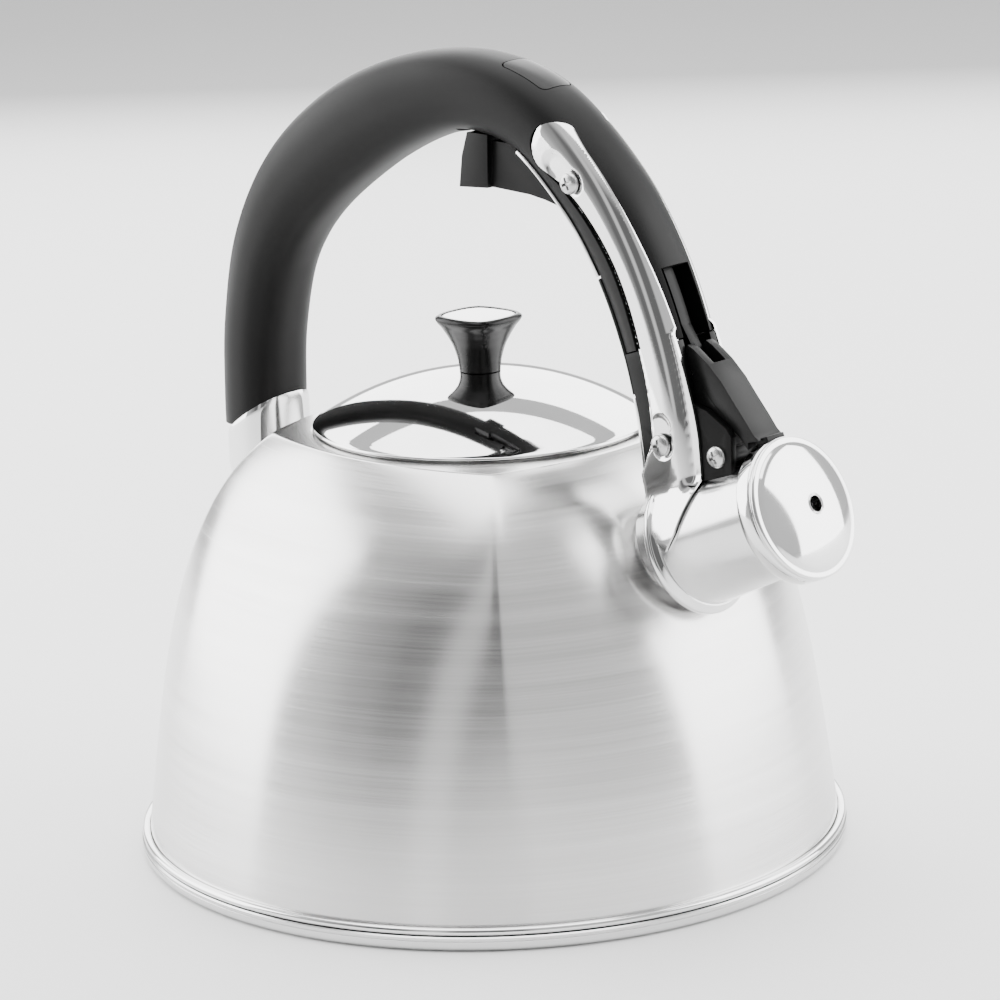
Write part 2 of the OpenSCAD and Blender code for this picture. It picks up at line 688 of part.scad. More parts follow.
lid_z = deck_z + 0.6;
lid_r = lid_d / 2;
edge_t = 1;
dome_r = (pow(lid_r - 0.6, 2) + lid_rise * lid_rise) / (2 * lid_rise);
dome_z = lid_z + edge_t + lid_rise;
module dome_profile(r, top) {
    intersection() {
        translate([0, top - r]) circle(r, $fn = 256);
        translate([0, lid_z + edge_t - eps]) square([lid_r + 5, 60]);
    }
}
module lid_shell() {
    color(MIRROR) rotate_extrude($fn = 128) {
        difference() {
            intersection() {
                union() {
                    dome_profile(dome_r, dome_z);
                    translate([0, lid_z]) square([lid_r - 0.5, edge_t]);
                    translate([lid_r - 0.5, lid_z + 0.5]) circle(0.5, $fn = 24);
                }
                translate([2.1, 0]) square([lid_r, 200]);
            }
            intersection() {
                translate([0, dome_z - dome_r]) circle(dome_r - 1, $fn = 256);
                translate([0, lid_z + edge_t]) square([lid_r + 5, 60]);
            }
            translate([-1, 0]) square([skirt_r + 1, lid_z + edge_t + 0.01]);
        }
    }
}
skirt_r = neck_r - 1.9;
skirt_top = dome_z - dome_r + sqrt(pow(dome_r - 1, 2) - skirt_r * skirt_r) - 0.03;
module lid_skirt() {
    color(STEEL) rotate_extrude($fn = 128) {
        translate([skirt_r - 0.95, lid_z - skirt_h]) square([0.93, skirt_top - lid_z + skirt_h]);
    }
}
// The washer's rim meets the underside of the dome, and the screw's head the washer
washer_r = 6;
washer_t = 0.8;
washer_z = dome_z - dome_r + sqrt(pow(dome_r - 1, 2) - washer_r * washer_r) - washer_t - eps;
module lid_washer() {
    color(STEEL) translate([0, 0, washer_z]) difference() {
        cylinder(r = washer_r, h = washer_t, $fn = 48);
        translate([0, 0, -1]) cylinder(r = 2.1, h = 4, $fn = 32);
    }
}
module lid_screw() {
    head_h = 2;
    color(STEEL) translate([0, 0, washer_z - head_h - eps]) {
        cylinder(r = 3.8, h = head_h, $fn = 32);
        cylinder(r = 1.95, h = 14, $fn = 32);
    }
}
// Half width of the knob at a height above its foot, over the corners and over the sides
KNOB = [[0, 1], [0.12, 1.03], [0.26, 1.11], [0.46, 1.29], [0.64, 1.55], [0.78, 1.8],
        [0.9, 2.06], [0.96, 2.09], [1, 1.98]];
function knob_r(k, a) =
    let (r = knob_foot + (KNOB[k][1] - 1) * (knob_top - knob_foot) / 1.09, f = abs(((a + 405) % 90) - 45))
    r * (1 - 0.13 * KNOB[k][0] * (1 - pow(f / 45, 2)));
module knob() {
    n = 40;
    color(BLACK) difference() {
        translate([0, 0, dome_z + 0.02]) loft([for (k = [0:len(KNOB) - 1])
            [for (i = [0:n - 1]) let (a = 360 * i / n, r = knob_r(k, a))
                [r * cos(a), r * sin(a), knob_h * KNOB[k][0]]]]);
        translate([0, 0, dome_z - 1]) cylinder(r = 2, h = 12, $fn = 32);
        translate([0, 0, dome_z + knob_h - 1]) rotate(45) linear_extrude(4) disc_outline(0.05);
    }
}
module disc_outline(grow) {
    a = knob_top * 0.42;
    offset(a + grow) square((knob_top - 1.4 - a) * sqrt(2), center = true);
}
module knob_disc() {
    color(MIRROR) translate([0, 0, dome_z + knob_h - 0.98]) rotate(45) linear_extrude(0.8)
        disc_outline(0);
}

body_shell();
base_floor();
base_core();
base_cap();
base_ring();
neck_ring();
spout_tube();
spout_collar();
rear_boot();
rear_bracket();
rear_screw();
grip();
grip_plug();
leg_core();
arm_right();
arm_left();
liner_upper();
liner_cover();
foot_bracket();
upper_arm_screws();
lower_arm_screws();
pivot_pin();
trigger_pin();
trigger_spring();
trigger();
push_rod();
rod_pin();
spout_lever();
lever_clip();
cap_shell();
whistle_tube();
whistle_plate();
cap_seal();
lid_shell();
lid_skirt();
lid_washer();
lid_screw();
knob();
knob_disc();
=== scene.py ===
import math

import bmesh
import bpy
import numpy as np
from mathutils import Matrix, Vector


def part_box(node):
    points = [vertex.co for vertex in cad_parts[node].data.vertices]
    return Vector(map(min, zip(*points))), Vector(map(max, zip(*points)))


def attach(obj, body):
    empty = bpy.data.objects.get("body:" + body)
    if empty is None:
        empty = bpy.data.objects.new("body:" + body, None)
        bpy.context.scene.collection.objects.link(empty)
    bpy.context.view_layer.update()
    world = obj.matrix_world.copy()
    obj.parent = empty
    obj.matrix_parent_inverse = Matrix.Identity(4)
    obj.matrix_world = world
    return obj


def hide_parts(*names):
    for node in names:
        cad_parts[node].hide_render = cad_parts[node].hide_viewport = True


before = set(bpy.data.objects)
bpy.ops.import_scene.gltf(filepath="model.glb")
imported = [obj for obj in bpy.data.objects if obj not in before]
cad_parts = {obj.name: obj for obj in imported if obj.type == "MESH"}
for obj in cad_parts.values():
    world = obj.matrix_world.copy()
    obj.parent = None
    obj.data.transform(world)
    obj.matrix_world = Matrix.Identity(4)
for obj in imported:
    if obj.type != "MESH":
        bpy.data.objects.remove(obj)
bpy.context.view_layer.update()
MM = 0.001

# ---- Driving sizes, in millimetres --------------------------------------


def low(name):
    """Lowest corner of a CAD node's box."""
    return np.array(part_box(name)[0]) / MM


def high(name):
    """Highest corner of a CAD node's box."""
    return np.array(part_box(name)[1]) / MM


BASE_R = high("base_cap")[0]
BASE_H = high("base_cap")[2]
SHELL_R = high("body_shell")[0]
SHELL_Z = low("body_shell")[2]
DECK_Z = high("body_shell")[2]
DECK_RISE, NECK_GAP, WALL = 0.6, 0.05, 1.2
BODY_H = DECK_Z - DECK_RISE
NECK_R = high("neck_ring")[0] + NECK_GAP
TOP_SIDE, TOP_CORNER = 54.5, 64.0
LID_R = high("lid_shell")[0]
LID_Z = low("lid_shell")[2]
DOME_Z = high("lid_shell")[2]
KNOB_H = high("knob")[2] - DOME_Z
KNOB_FOOT, KNOB_TOP, KNOB_BORE = 6.3, 13.2, 2
TILT = math.radians(22.9)
SPOUT_AT = np.array([84.5, 0, 105.5])
SPOUT_L, ROOT_R, TIP_R = 42.5, 19.2, 17.0
BORE_R, SPOUT_SHEET, LIP = ROOT_R - 2.6, 1.0, 4.0
CAP_R = high("cap_shell")[1]
CAP_BAND, CAP_DOME, CAP_SHEET, WHISTLE_R = 5.5, 5.5, 0.9, 2.9
REAR_X, FRONT_X, FOOT_Z, GRIP_Z = 94.5, 83.5, 108.0, 232.5
GRIP_T, SWELL, GRIP_W, ARM_T = 23.0, 7.5, 26.0, 1.2
HALF_W, HALF_CH, EAR_Y = GRIP_W / 2, 6.0, 8.4
CUT_Z, CUT_SLOPE, BOOT_Z = FOOT_Z + 13, math.radians(34), FOOT_Z - 16
SQUARENESS = 0.8
MERGE, CAD_MERGE = 0.0005, 0.002
ROUND_STEPS, ROUND_FROM = 3, 35

# ---- Curves -------------------------------------------------------------


def mix(a, b, t):
    return a + (b - a) * t


def smooth(a, b, x):
    """Soft step from 0 at a to 1 at b."""
    t = np.clip((x - a) / (b - a), 0, 1)
    return t * t * (3 - 2 * t)


def spline(points, s):
    """Catmull-Rom through a list of values or points, at position s along it."""
    p = np.array(points, float)
    n = len(p) - 1
    i = int(max(0, min(n - 1, math.floor(s))))
    t = s - i
    a, b, c, d = p[max(0, i - 1)], p[i], p[i + 1], p[min(n, i + 2)]
    cubic = (3 * b - a - 3 * c + d) * t**3
    return 0.5 * (2 * b + (c - a) * t + (2 * a - 5 * b + 4 * c - d) * t * t + cubic)


HANDLE = [(0, 0), (0, 0.16), (0.01, 0.35), (0.05, 0.56), (0.14, 0.74), (0.285, 0.89), (0.44, 0.98),
          (0.575, 1), (0.7, 0.948), (0.82, 0.8), (0.896, 0.65), (0.95, 0.482), (0.983, 0.313),
          (1, 0.137)]
PATH = [(-REAR_X + x * (REAR_X + FRONT_X), FOOT_Z + z * (GRIP_Z - FOOT_Z)) for x, z in HANDLE]


def heading(s):
    """Unit direction of the handle at position s along it."""
    d = spline(PATH, s + 0.02) - spline(PATH, s - 0.02)
    return d / np.linalg.norm(d)


def beside(s, off):
    """A point of the side view, at position s along the handle and off outwards from its middle."""
    d = heading(s)
    return spline(PATH, s) + np.array([-d[1], d[0]]) * off


def strip(s0, s1, a, b, m):
    """Outline of the band between the offsets a and b, from s0 to s1 along the handle."""
    return ([beside(mix(s0, s1, j / m), a) for j in range(m + 1)]
            + [beside(mix(s0, s1, j / m), b) for j in range(m, -1, -1)])


ALONG = np.array([math.cos(TILT), 0, math.sin(TILT)])
ABOVE = np.array([-math.sin(TILT), 0, math.cos(TILT)])
CAP_U, MOUTH_U = SPOUT_L, SPOUT_L - LIP


def spout_side(u, v):
    """A point of the side view, u along the spout and v above its middle."""
    p = SPOUT_AT + ALONG * u + ABOVE * v
    return np.array([p[0], p[2]])


LEVER_PIVOT = spout_side(25.6, 21.6)
TRIGGER_REF = beside(8.5, -9)
SCREW_UP, SCREW_LOW = beside(8.87, 1), beside(12.4, 0.5)

# ---- Meshes -------------------------------------------------------------


def add_object(name, data):
    obj = bpy.data.objects.new(name, data)
    bpy.context.scene.collection.objects.link(obj)
    return obj


def new_mesh(name, verts, faces):
    """A mesh object from points in millimetres."""
    data = bpy.data.meshes.new(name)
    data.from_pydata([tuple(float(c) * MM for c in v) for v in verts], [], faces)
    return add_object(name, data)


def rings_mesh(name, rings, loop=False):
    """Rings of points joined into one closed mesh; loop joins the last ring to the first."""
    m, n = len(rings), len(rings[0])
    verts = [p for ring in rings for p in ring]
    faces = []
    for j in range(m if loop else m - 1):
        u = (j + 1) % m
        for i in range(n):
            k = (i + 1) % n
            faces.append((j * n + i, j * n + k, u * n + k, u * n + i))
    if not loop:
        faces.append(tuple(range(n)))
        faces.append(tuple((m - 1) * n + i for i in range(n)))
    return clean(new_mesh(name, verts, faces))


def clean(obj):
    """Joins doubled points, drops loose edges and turns every face outwards."""
    bm = bmesh.new()
    bm.from_mesh(obj.data)
    bmesh.ops.remove_doubles(bm, verts=bm.verts, dist=MERGE * MM)
    bmesh.ops.dissolve_degenerate(bm, edges=bm.edges, dist=MERGE * MM)
    loose = [e for e in bm.edges if not e.link_faces]
    bmesh.ops.delete(bm, geom=loose, context="EDGES")
    bmesh.ops.recalc_face_normals(bm, faces=bm.faces)
    bm.to_mesh(obj.data)
    bm.free()
    return obj


def circle(n):
    return [2 * math.pi * i / n for i in range(n)]


def upright(r, z, a):
    """Place on a turned piece that stands on Z: radius, height, angle."""
    return (r * math.cos(a), r * math.sin(a), z)


def on_spout(r, u, a):
    """Place on a piece turned about the spout: radius, distance along it, angle from its top."""
    p = SPOUT_AT + ALONG * u + ABOVE * (r * math.cos(a))
    return (p[0], r * math.sin(a), p[2])


def lathe(name, profile, place=upright, n=192):
    """A closed profile of (radius, height) points turned about the axis."""
    return rings_mesh(name, [[place(r, z, a) for r, z in profile] for a in circle(n)], loop=True)


def arc(cx, cz, r, a0, a1, n=8):
    """Points of an arc about (cx, cz), from a0 to a1 degrees."""
    steps = [math.radians(mix(a0, a1, i / n)) for i in range(n + 1)]
    return [(cx + r * math.cos(a), cz + r * math.sin(a)) for a in steps]


def prism(name, outline, y0, y1):
    """A side view outline carried across the handle from y0 to y1."""
    n = len(outline)
    verts = [(p[0], y, p[1]) for y in (y0, y1) for p in outline]
    faces = [tuple(range(n)), tuple(range(2 * n - 1, n - 1, -1))]
    faces += [(i, (i + 1) % n, n + (i + 1) % n, n + i) for i in range(n)]
    return clean(new_mesh(name, verts, faces))


def block(name, half, at):
    """A box by its half sizes and its middle."""
    corners = [(x * half[0] + at[0], y * half[1] + at[1], z * half[2] + at[2])
               for z in (-1, 1) for x, y in ((-1, -1), (1, -1), (1, 1), (-1, 1))]
    faces = [(3, 2, 1, 0), (4, 5, 6, 7), (0, 1, 5, 4), (1, 2, 6, 5), (2, 3, 7, 6), (3, 0, 4, 7)]
    return clean(new_mesh(name, corners, faces))


def settle(obj):
    """Turns the object and its modifiers into a plain mesh."""
    graph = bpy.context.evaluated_depsgraph_get()
    data = bpy.data.meshes.new_from_object(obj.evaluated_get(graph))
    obj.modifiers.clear()
    obj.data = data
    return obj


def trim(obj, cutters, operation="DIFFERENCE"):
    """Takes the cutters away from obj, or keeps what lies in all of them."""
    for cutter in cutters:
        cut = obj.modifiers.new("cut", "BOOLEAN")
        cut.operation = operation
        cut.solver = "MANIFOLD"
        cut.object = cutter
    settle(obj)
    for cutter in cutters:
        bpy.data.objects.remove(cutter)
    return clean(obj)


def soften(obj, width):
    """Rounds the sharp edges."""
    edge = obj.modifiers.new("round", "BEVEL")
    edge.width = width * MM
    edge.segments = ROUND_STEPS
    edge.limit_method = "ANGLE"
    edge.angle_limit = math.radians(ROUND_FROM)
    edge.use_clamp_overlap = True
    edge.miter_outer = "MITER_ARC"
    return settle(obj)


def copy_of(source, name):
    """A merged copy of a CAD node, with its flat faces joined up."""
    obj = add_object(name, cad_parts[source].data.copy())
    obj.data.materials.clear()
    bm = bmesh.new()
    bm.from_mesh(obj.data)
    bmesh.ops.remove_doubles(bm, verts=bm.verts, dist=CAD_MERGE * MM)
    bmesh.ops.dissolve_limit(bm, angle_limit=math.radians(1), verts=bm.verts, edges=bm.edges)
    bm.to_mesh(obj.data)
    bm.free()
    return obj


def finish_piece(obj, body, coat, nodes, angle=32):
    """Coats a piece, shades it smooth up to the angle and hands it to the frame."""
    obj.data.materials.clear()
    obj.data.materials.append(coat)
    obj.data.shade_smooth()
    obj.data.set_sharp_from_angle(angle=math.radians(angle))
    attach(obj, body)
    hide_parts(*nodes)


# ---- Finishes -----------------------------------------------------------


def node(tree, kind, **values):
    """A new shader or geometry node; each value goes to its setting or its input."""
    made = tree.nodes.new(kind)
    for key, value in values.items():
        if hasattr(made, key):
            setattr(made, key, value)
        else:
            made.inputs[key.replace("_", " ")].default_value = value
    return made


def effect(name, inputs):
    """An empty shader group with named inputs, giving a tone and a height."""
    tree = bpy.data.node_groups.new(name, "ShaderNodeTree")
    for label, value in inputs.items():
        made = tree.interface.new_socket(label, in_out="INPUT", socket_type="NodeSocketFloat")
        made.default_value = value
    for label in ("Tone", "Height"):
        tree.interface.new_socket(label, in_out="OUTPUT", socket_type="NodeSocketFloat")
    return tree, tree.nodes.new("NodeGroupInput"), tree.nodes.new("NodeGroupOutput")


def brushed_lines():
    """Fine level scratches: tone and height change fast up the piece and slowly along it."""
    tree, given, out = effect("brushed_lines", {"Across": 3000.0, "Along": 18.0})
    link = tree.links.new
    place = node(tree, "ShaderNodeTexCoord")
    scale = node(tree, "ShaderNodeCombineXYZ")
    link(given.outputs["Along"], scale.inputs["X"])
    link(given.outputs["Along"], scale.inputs["Y"])
    link(given.outputs["Across"], scale.inputs["Z"])
    move = node(tree, "ShaderNodeVectorMath", operation="MULTIPLY")
    link(place.outputs["Object"], move.inputs[0])
    link(scale.outputs[0], move.inputs[1])
    fine = node(tree, "ShaderNodeTexNoise", Scale=1.0, Detail=3.0, Roughness=0.65)
    link(move.outputs[0], fine.inputs["Vector"])
    wide = node(tree, "ShaderNodeVectorMath", operation="MULTIPLY")
    wide.inputs[1].default_value = (0.6, 0.6, 0.12)
    link(move.outputs[0], wide.inputs[0])
    broad = node(tree, "ShaderNodeTexNoise", Scale=1.0, Detail=2.0)
    link(wide.outputs[0], broad.inputs["Vector"])
    both = node(tree, "ShaderNodeMath", operation="ADD")
    link(fine.outputs["Fac"], both.inputs[0])
    link(broad.outputs["Fac"], both.inputs[1])
    half = node(tree, "ShaderNodeMath", operation="MULTIPLY")
    half.inputs[1].default_value = 0.5
    link(both.outputs[0], half.inputs[0])
    link(half.outputs[0], out.inputs["Tone"])
    link(fine.outputs["Fac"], out.inputs["Height"])
    return tree


def surface_grain():
    """Even grain, with a broad wander under it: for moulded plastic, polish ripple and wear."""
    tree, given, out = effect("surface_grain", {"Grain": 2500.0, "Wander": 30.0})
    link = tree.links.new
    place = node(tree, "ShaderNodeTexCoord")
    fine = node(tree, "ShaderNodeTexNoise", Detail=2.0)
    broad = node(tree, "ShaderNodeTexNoise", Detail=3.0)
    link(place.outputs["Object"], fine.inputs["Vector"])
    link(place.outputs["Object"], broad.inputs["Vector"])
    link(given.outputs["Grain"], fine.inputs["Scale"])
    link(given.outputs["Wander"], broad.inputs["Scale"])
    link(fine.outputs["Fac"], out.inputs["Height"])
    link(broad.outputs["Fac"], out.inputs["Tone"])
    return tree


BRUSHED, GRAIN = brushed_lines(), surface_grain()


def finish(name, effect_tree, settings, colours, roughs, metal, bump, spread=(0.3, 0.7), **shader):
    """A finish whose colour and gloss follow the effect's tone and whose relief follows its height."""
    mat = bpy.data.materials.new(name)
    mat.use_nodes = True
    tree = mat.node_tree
    link = tree.links.new
    skin = tree.nodes["Principled BSDF"]
    skin.inputs["Metallic"].default_value = metal
    for key, value in shader.items():
        skin.inputs[key.replace("_", " ")].default_value = value
    used = node(tree, "ShaderNodeGroup", node_tree=effect_tree)
    for key, value in settings.items():
        used.inputs[key].default_value = value
    tone = node(tree, "ShaderNodeValToRGB")
    tone.color_ramp.elements[0].position, tone.color_ramp.elements[1].position = spread
    tone.color_ramp.elements[0].color = (*colours[0], 1)
    tone.color_ramp.elements[1].color = (*colours[1], 1)
    link(used.outputs["Tone"], tone.inputs["Fac"])
    link(tone.outputs["Color"], skin.inputs["Base Color"])
    gloss = node(tree, "ShaderNodeMapRange")
    gloss.inputs["From Min"].default_value, gloss.inputs["From Max"].default_value = spread
    gloss.inputs["To Min"].default_value, gloss.inputs["To Max"].default_value = roughs
    link(used.outputs["Tone"], gloss.inputs["Value"])
    link(gloss.outputs["Result"], skin.inputs["Roughness"])
    relief = node(tree, "ShaderNodeBump", Strength=bump[0], Distance=bump[1] * MM)
    link(used.outputs["Height"], relief.inputs["Height"])
    link(relief.outputs["Normal"], skin.inputs["Normal"])
    return mat


def grey(v, warm=0.0):
    return (v + warm, v, v - warm)


brushed_body = finish("brushed_body", BRUSHED, {"Across": 2600.0, "Along": 9.0},
                      (grey(0.66, 0.006), grey(0.80, 0.004)), (0.20, 0.28), 1.0, (0.10, 0.02),
                      Anisotropic=0.75, Anisotropic_Rotation=0.25)
satin_base = finish("satin_base", BRUSHED, {"Across": 3000.0, "Along": 12.0},
                    (grey(0.62), grey(0.76)), (0.16, 0.26), 1.0, (0.10, 0.02))
polished = finish("polished", GRAIN, {"Grain": 900.0, "Wander": 45.0},
                  (grey(0.74), grey(0.82)), (0.05, 0.10), 1.0, (0.03, 0.02))
satin_spout = finish("satin_spout", GRAIN, {"Grain": 1400.0, "Wander": 60.0},
                     (grey(0.68), grey(0.78)), (0.13, 0.20), 1.0, (0.05, 0.02))
mirror_lid = finish("mirror_lid", GRAIN, {"Grain": 1100.0, "Wander": 60.0},
                    (grey(0.76), grey(0.84)), (0.025, 0.055), 1.0, (0.035, 0.02))
plain_steel = finish("plain_steel", GRAIN, {"Grain": 1500.0, "Wander": 90.0},
                     (grey(0.48), grey(0.6)), (0.22, 0.34), 1.0, (0.08, 0.02))
soft_grip = finish("soft_grip", GRAIN, {"Grain": 3200.0, "Wander": 25.0},
                   (grey(0.0012), grey(0.002)), (0.44, 0.54), 0.0, (0.30, 0.05),
                   Specular_IOR_Level=0.16)
smooth_dark = finish("smooth_dark", GRAIN, {"Grain": 2600.0, "Wander": 40.0},
                     (grey(0.001), grey(0.0018)), (0.30, 0.40), 0.0, (0.12, 0.03),
                     Specular_IOR_Level=0.16)
lever_dark = finish("lever_dark", GRAIN, {"Grain": 2600.0, "Wander": 40.0},
                    (grey(0.0035), grey(0.0055)), (0.34, 0.44), 0.0, (0.12, 0.03),
                    Specular_IOR_Level=0.22)
gloss_knob = finish("gloss_knob", GRAIN, {"Grain": 1800.0, "Wander": 40.0},
                    (grey(0.002), grey(0.003)), (0.22, 0.30), 0.0, (0.05, 0.02),
                    Specular_IOR_Level=0.2)
seal_grey = finish("seal_grey", GRAIN, {"Grain": 1800.0, "Wander": 40.0},
                   (grey(0.22), grey(0.28)), (0.5, 0.62), 0.0, (0.15, 0.03))
core_metal = finish("core_metal", GRAIN, {"Grain": 1200.0, "Wander": 60.0},
                    (grey(0.5), grey(0.6)), (0.4, 0.5), 1.0, (0.2, 0.03))

# ---- Body ---------------------------------------------------------------

# Control points of the wall's curve, up the middle of a side and up a corner
SIDE = [(SHELL_R, SHELL_Z), (SHELL_R - 6.5, BODY_H * 0.40), (TOP_SIDE + 37.5, BODY_H * 0.79),
        (TOP_SIDE, BODY_H)]
CORNER = [(SHELL_R, SHELL_Z), (SHELL_R - 6.5, BODY_H * 0.40), (TOP_CORNER + 33, BODY_H * 0.83),
          (TOP_CORNER, BODY_H)]
CORNER_EASE = 1.1


def bezier(points, t):
    p = np.array(points)
    return ((1 - t) ** 3 * p[0] + 3 * t * (1 - t) ** 2 * p[1] + 3 * t * t * (1 - t) * p[2]
            + t**3 * p[3])


def plan_r(mid, cor, a):
    """Radius of a plan with four arched sides, its corners just broken."""
    d = (cor * cor - mid * mid) / max(1, 2 * mid - math.sqrt(2) * cor)
    f = abs(((math.degrees(a) + 405) % 90) - 45)
    ease = CORNER_EASE * (f / 45) ** 4
    f = 45 - (math.hypot(45 - f, ease) - ease * (f / 45) ** 2)
    f = math.radians(f)
    return math.sqrt((mid + d) ** 2 - (d * math.sin(f)) ** 2) - d * math.cos(f)


def body_angles(n):
    """Angles that crowd towards the four corners."""
    w = [2 * i / n - 1 for i in range(n)]
    return [math.radians(45 + 90 * q + 45 * math.copysign(abs(x) ** 1.5, x)) for q in range(4) for x in w]


def wall_steps(n):
    """Shares of the way up the wall, a little denser towards the top."""
    return [1 - (1 - i / n) ** 1.15 for i in range(n + 1)]


def body_ring(t, inset, angles):
    """Level t of the wall, moved in by the inset."""
    side, corner = bezier(SIDE, t), bezier(CORNER, t)
    ring = []
    for a in angles:
        r = plan_r(side[0], corner[0], a)
        gap = corner[0] - side[0]
        w = 0 if gap < 0.1 else (r - side[0]) / gap
        ring.append(upright(r - inset, mix(side[1], corner[1], w) - (inset if t > 0 else 0), a))
    return ring


def body_shell():
    angles = body_angles(84)
    steps = wall_steps(62)
    edge_r = [plan_r(TOP_SIDE, TOP_CORNER, a) for a in angles]
    rings = [body_ring(t, 0, angles) for t in steps[:-1]]
    for inset, z in ((0.0, -0.1), (0.12, 0.08), (0.4, 0.17), (0.9, 0.2)):
        rings.append([upright(r - inset, BODY_H + z, a) for r, a in zip(edge_r, angles)])
    for w in (0.3, 0.6, 0.85, 1):
        rings.append([upright(mix(r - 1.2, NECK_R + 0.5, w), mix(BODY_H + 0.24, DECK_Z, w), a)
                      for r, a in zip(edge_r, angles)])
    for out, z in ((0.15, -0.12), (0, -0.4), (0, -WALL)):
        rings.append([upright(NECK_R + out, DECK_Z + z, a) for a in angles])
    rings += [body_ring(t, WALL, angles) for t in steps[::-2]]
    shell = rings_mesh("kettle_body", rings, loop=True)
    hole = lathe("hole", [(0, -30), (BORE_R, -30), (BORE_R, 10), (0, 10)], on_spout, 96)
    return trim(shell, [hole])


finish_piece(body_shell(), "root", brushed_body, ["body_shell"], 24)


def base_disc():
    """Base disc with a pressed ring underneath and a groove near its upper edge."""
    edge = 2.2
    profile = [(0, 0), (BASE_R * 0.4, 0), (BASE_R - 8, 0), (BASE_R - 7.6, 0.25), (BASE_R - 6.8, 0.25),
               (BASE_R - 6.4, 0)]
    profile += arc(BASE_R - edge, edge, edge, -90, 0, 10)
    profile += [(BASE_R, BASE_H - 1.5), (BASE_R - 0.3, BASE_H - 1.3), (BASE_R - 0.3, BASE_H - 1.1),
                (BASE_R, BASE_H - 0.9), (BASE_R, BASE_H - 0.35), (BASE_R - 0.4, BASE_H)]
    profile += [(BASE_R - 5, BASE_H), (BASE_R - 5, 1), (0, 1)]
    return lathe("base_disc", profile, n=256)


def rim():
    z0, z1 = low("base_ring")[2], high("base_ring")[2]
    outer, inner, roll = high("base_ring")[0], SHELL_R + 0.1, 1.15
    profile = [(inner, z0), (outer - 1.3, z0)]
    profile += arc(outer - roll, (z0 + z1) / 2, roll, -80, 80, 12)
    profile += [(outer - 1.4, z1), (outer - 1.9, z1 - 0.1), (inner, z1 - 0.3)]
    return lathe("base_rim", profile, n=256)


finish_piece(base_disc(), "root", satin_base, ["base_cap"])
finish_piece(rim(), "root", polished, ["base_ring"])

# ---- Spout and cap ------------------------------------------------------


def spout_tube():
    t, inside, root, tip = SPOUT_SHEET, -16, 2.5, MOUTH_U - 1
    profile = [(BORE_R - t, inside), (BORE_R - 0.05, inside), (BORE_R - 0.05, -0.6),
               (ROOT_R - 0.2, -0.6), (ROOT_R, 0.2)]
    profile += [(mix(ROOT_R, TIP_R, i / 12), mix(root, tip, i / 12)) for i in range(13)]
    profile += [(TIP_R - 0.1, tip + 0.6), (TIP_R - 0.35, MOUTH_U), (TIP_R - 0.7, MOUTH_U),
                (TIP_R - t, tip + 0.4)]
    profile += [(mix(ROOT_R - t, TIP_R - t, i / 6), mix(root, tip, i / 6)) for i in range(5, -1, -1)]
    profile += [(BORE_R - t, -0.6)]
    return lathe("spout_pipe", profile, on_spout, 160)


def collar():
    """Two beads round the spout's root."""
    profile = [(ROOT_R + 0.02, -1.6)]
    profile += arc(ROOT_R + 0.68, 0.4, 1.6, -70, 62, 14)
    profile += arc(ROOT_R - 0.05, 2.2, 1.0, 38, 88, 8)
    profile += [(ROOT_R + 0.02, 3.0)]
    return lathe("spout_collar_beads", profile, on_spout, 192)


def cap():
    """Domed cap with a ring round its face, a rounded shoulder, a groove and a band."""
    face = CAP_R - 2.6
    t = CAP_SHEET

    def dome(r):
        return 1.9 + CAP_DOME * (1 - (r / face) ** 2) * 0.7

    outer = [(WHISTLE_R, dome(WHISTLE_R) - 0.25), (WHISTLE_R + 0.3, dome(WHISTLE_R) - 0.02)]
    outer += [(mix(WHISTLE_R + 0.6, face, i / 14), dome(mix(WHISTLE_R + 0.6, face, i / 14)))
              for i in range(15)]
    outer += [(face + 0.45, 1.45), (face + 0.8, 1.3), (face + 1.3, 1.42)]
    outer += arc(CAP_R - 0.9, 0.55, 0.82, 85, -35, 10)
    outer += [(CAP_R - 0.38, -0.18), (CAP_R - 0.4, -0.5), (CAP_R - 0.1, -0.75), (CAP_R, -1.1)]
    outer += [(CAP_R, -CAP_BAND + 0.5), (CAP_R - 0.15, -CAP_BAND + 0.12), (CAP_R - 0.4, -CAP_BAND)]
    inner = [(CAP_R - t, -CAP_BAND), (CAP_R - t, -0.6), (CAP_R - t - 1, 0.2)]
    inner += [(mix(face - t, WHISTLE_R, i / 8), dome(mix(face - t, WHISTLE_R, i / 8)) - t)
              for i in range(9)]
    return lathe("whistle_cap", [(r, CAP_U + z) for r, z in outer + inner], on_spout, 192)


def whistle_pipe():
    z0, z1 = CAP_U - 2.7, CAP_U + 5.86
    r = WHISTLE_R - 0.02
    profile = [(r - 0.58, z0), (r, z0), (r, z1 - 0.5), (r - 0.12, z1 - 0.1), (r - 0.3, z1 - 0.02),
               (r - 0.5, z1 - 0.15), (r - 0.58, z1 - 0.5)]
    return lathe("whistle_pipe", profile, on_spout, 64)


finish_piece(spout_tube(), "root", satin_spout, ["spout_tube"])
finish_piece(collar(), "root", polished, ["spout_collar"])
finish_piece(cap(), "cap_lever", polished, ["cap_shell"], 40)
finish_piece(whistle_pipe(), "cap_lever", polished, ["whistle_tube"])

# ---- Rear foot ----------------------------------------------------------


def tilted(x):
    """Height of the grip's slanted end at x."""
    return CUT_Z + (x + REAR_X) * math.tan(CUT_SLOPE)


def squared(a):
    """Point at angle a of the handle's section, a circle of radius one pushed towards a square."""
    x, y = math.cos(a), math.sin(a)
    return math.copysign(abs(x) ** SQUARENESS, x), math.copysign(abs(y) ** SQUARENESS, y)


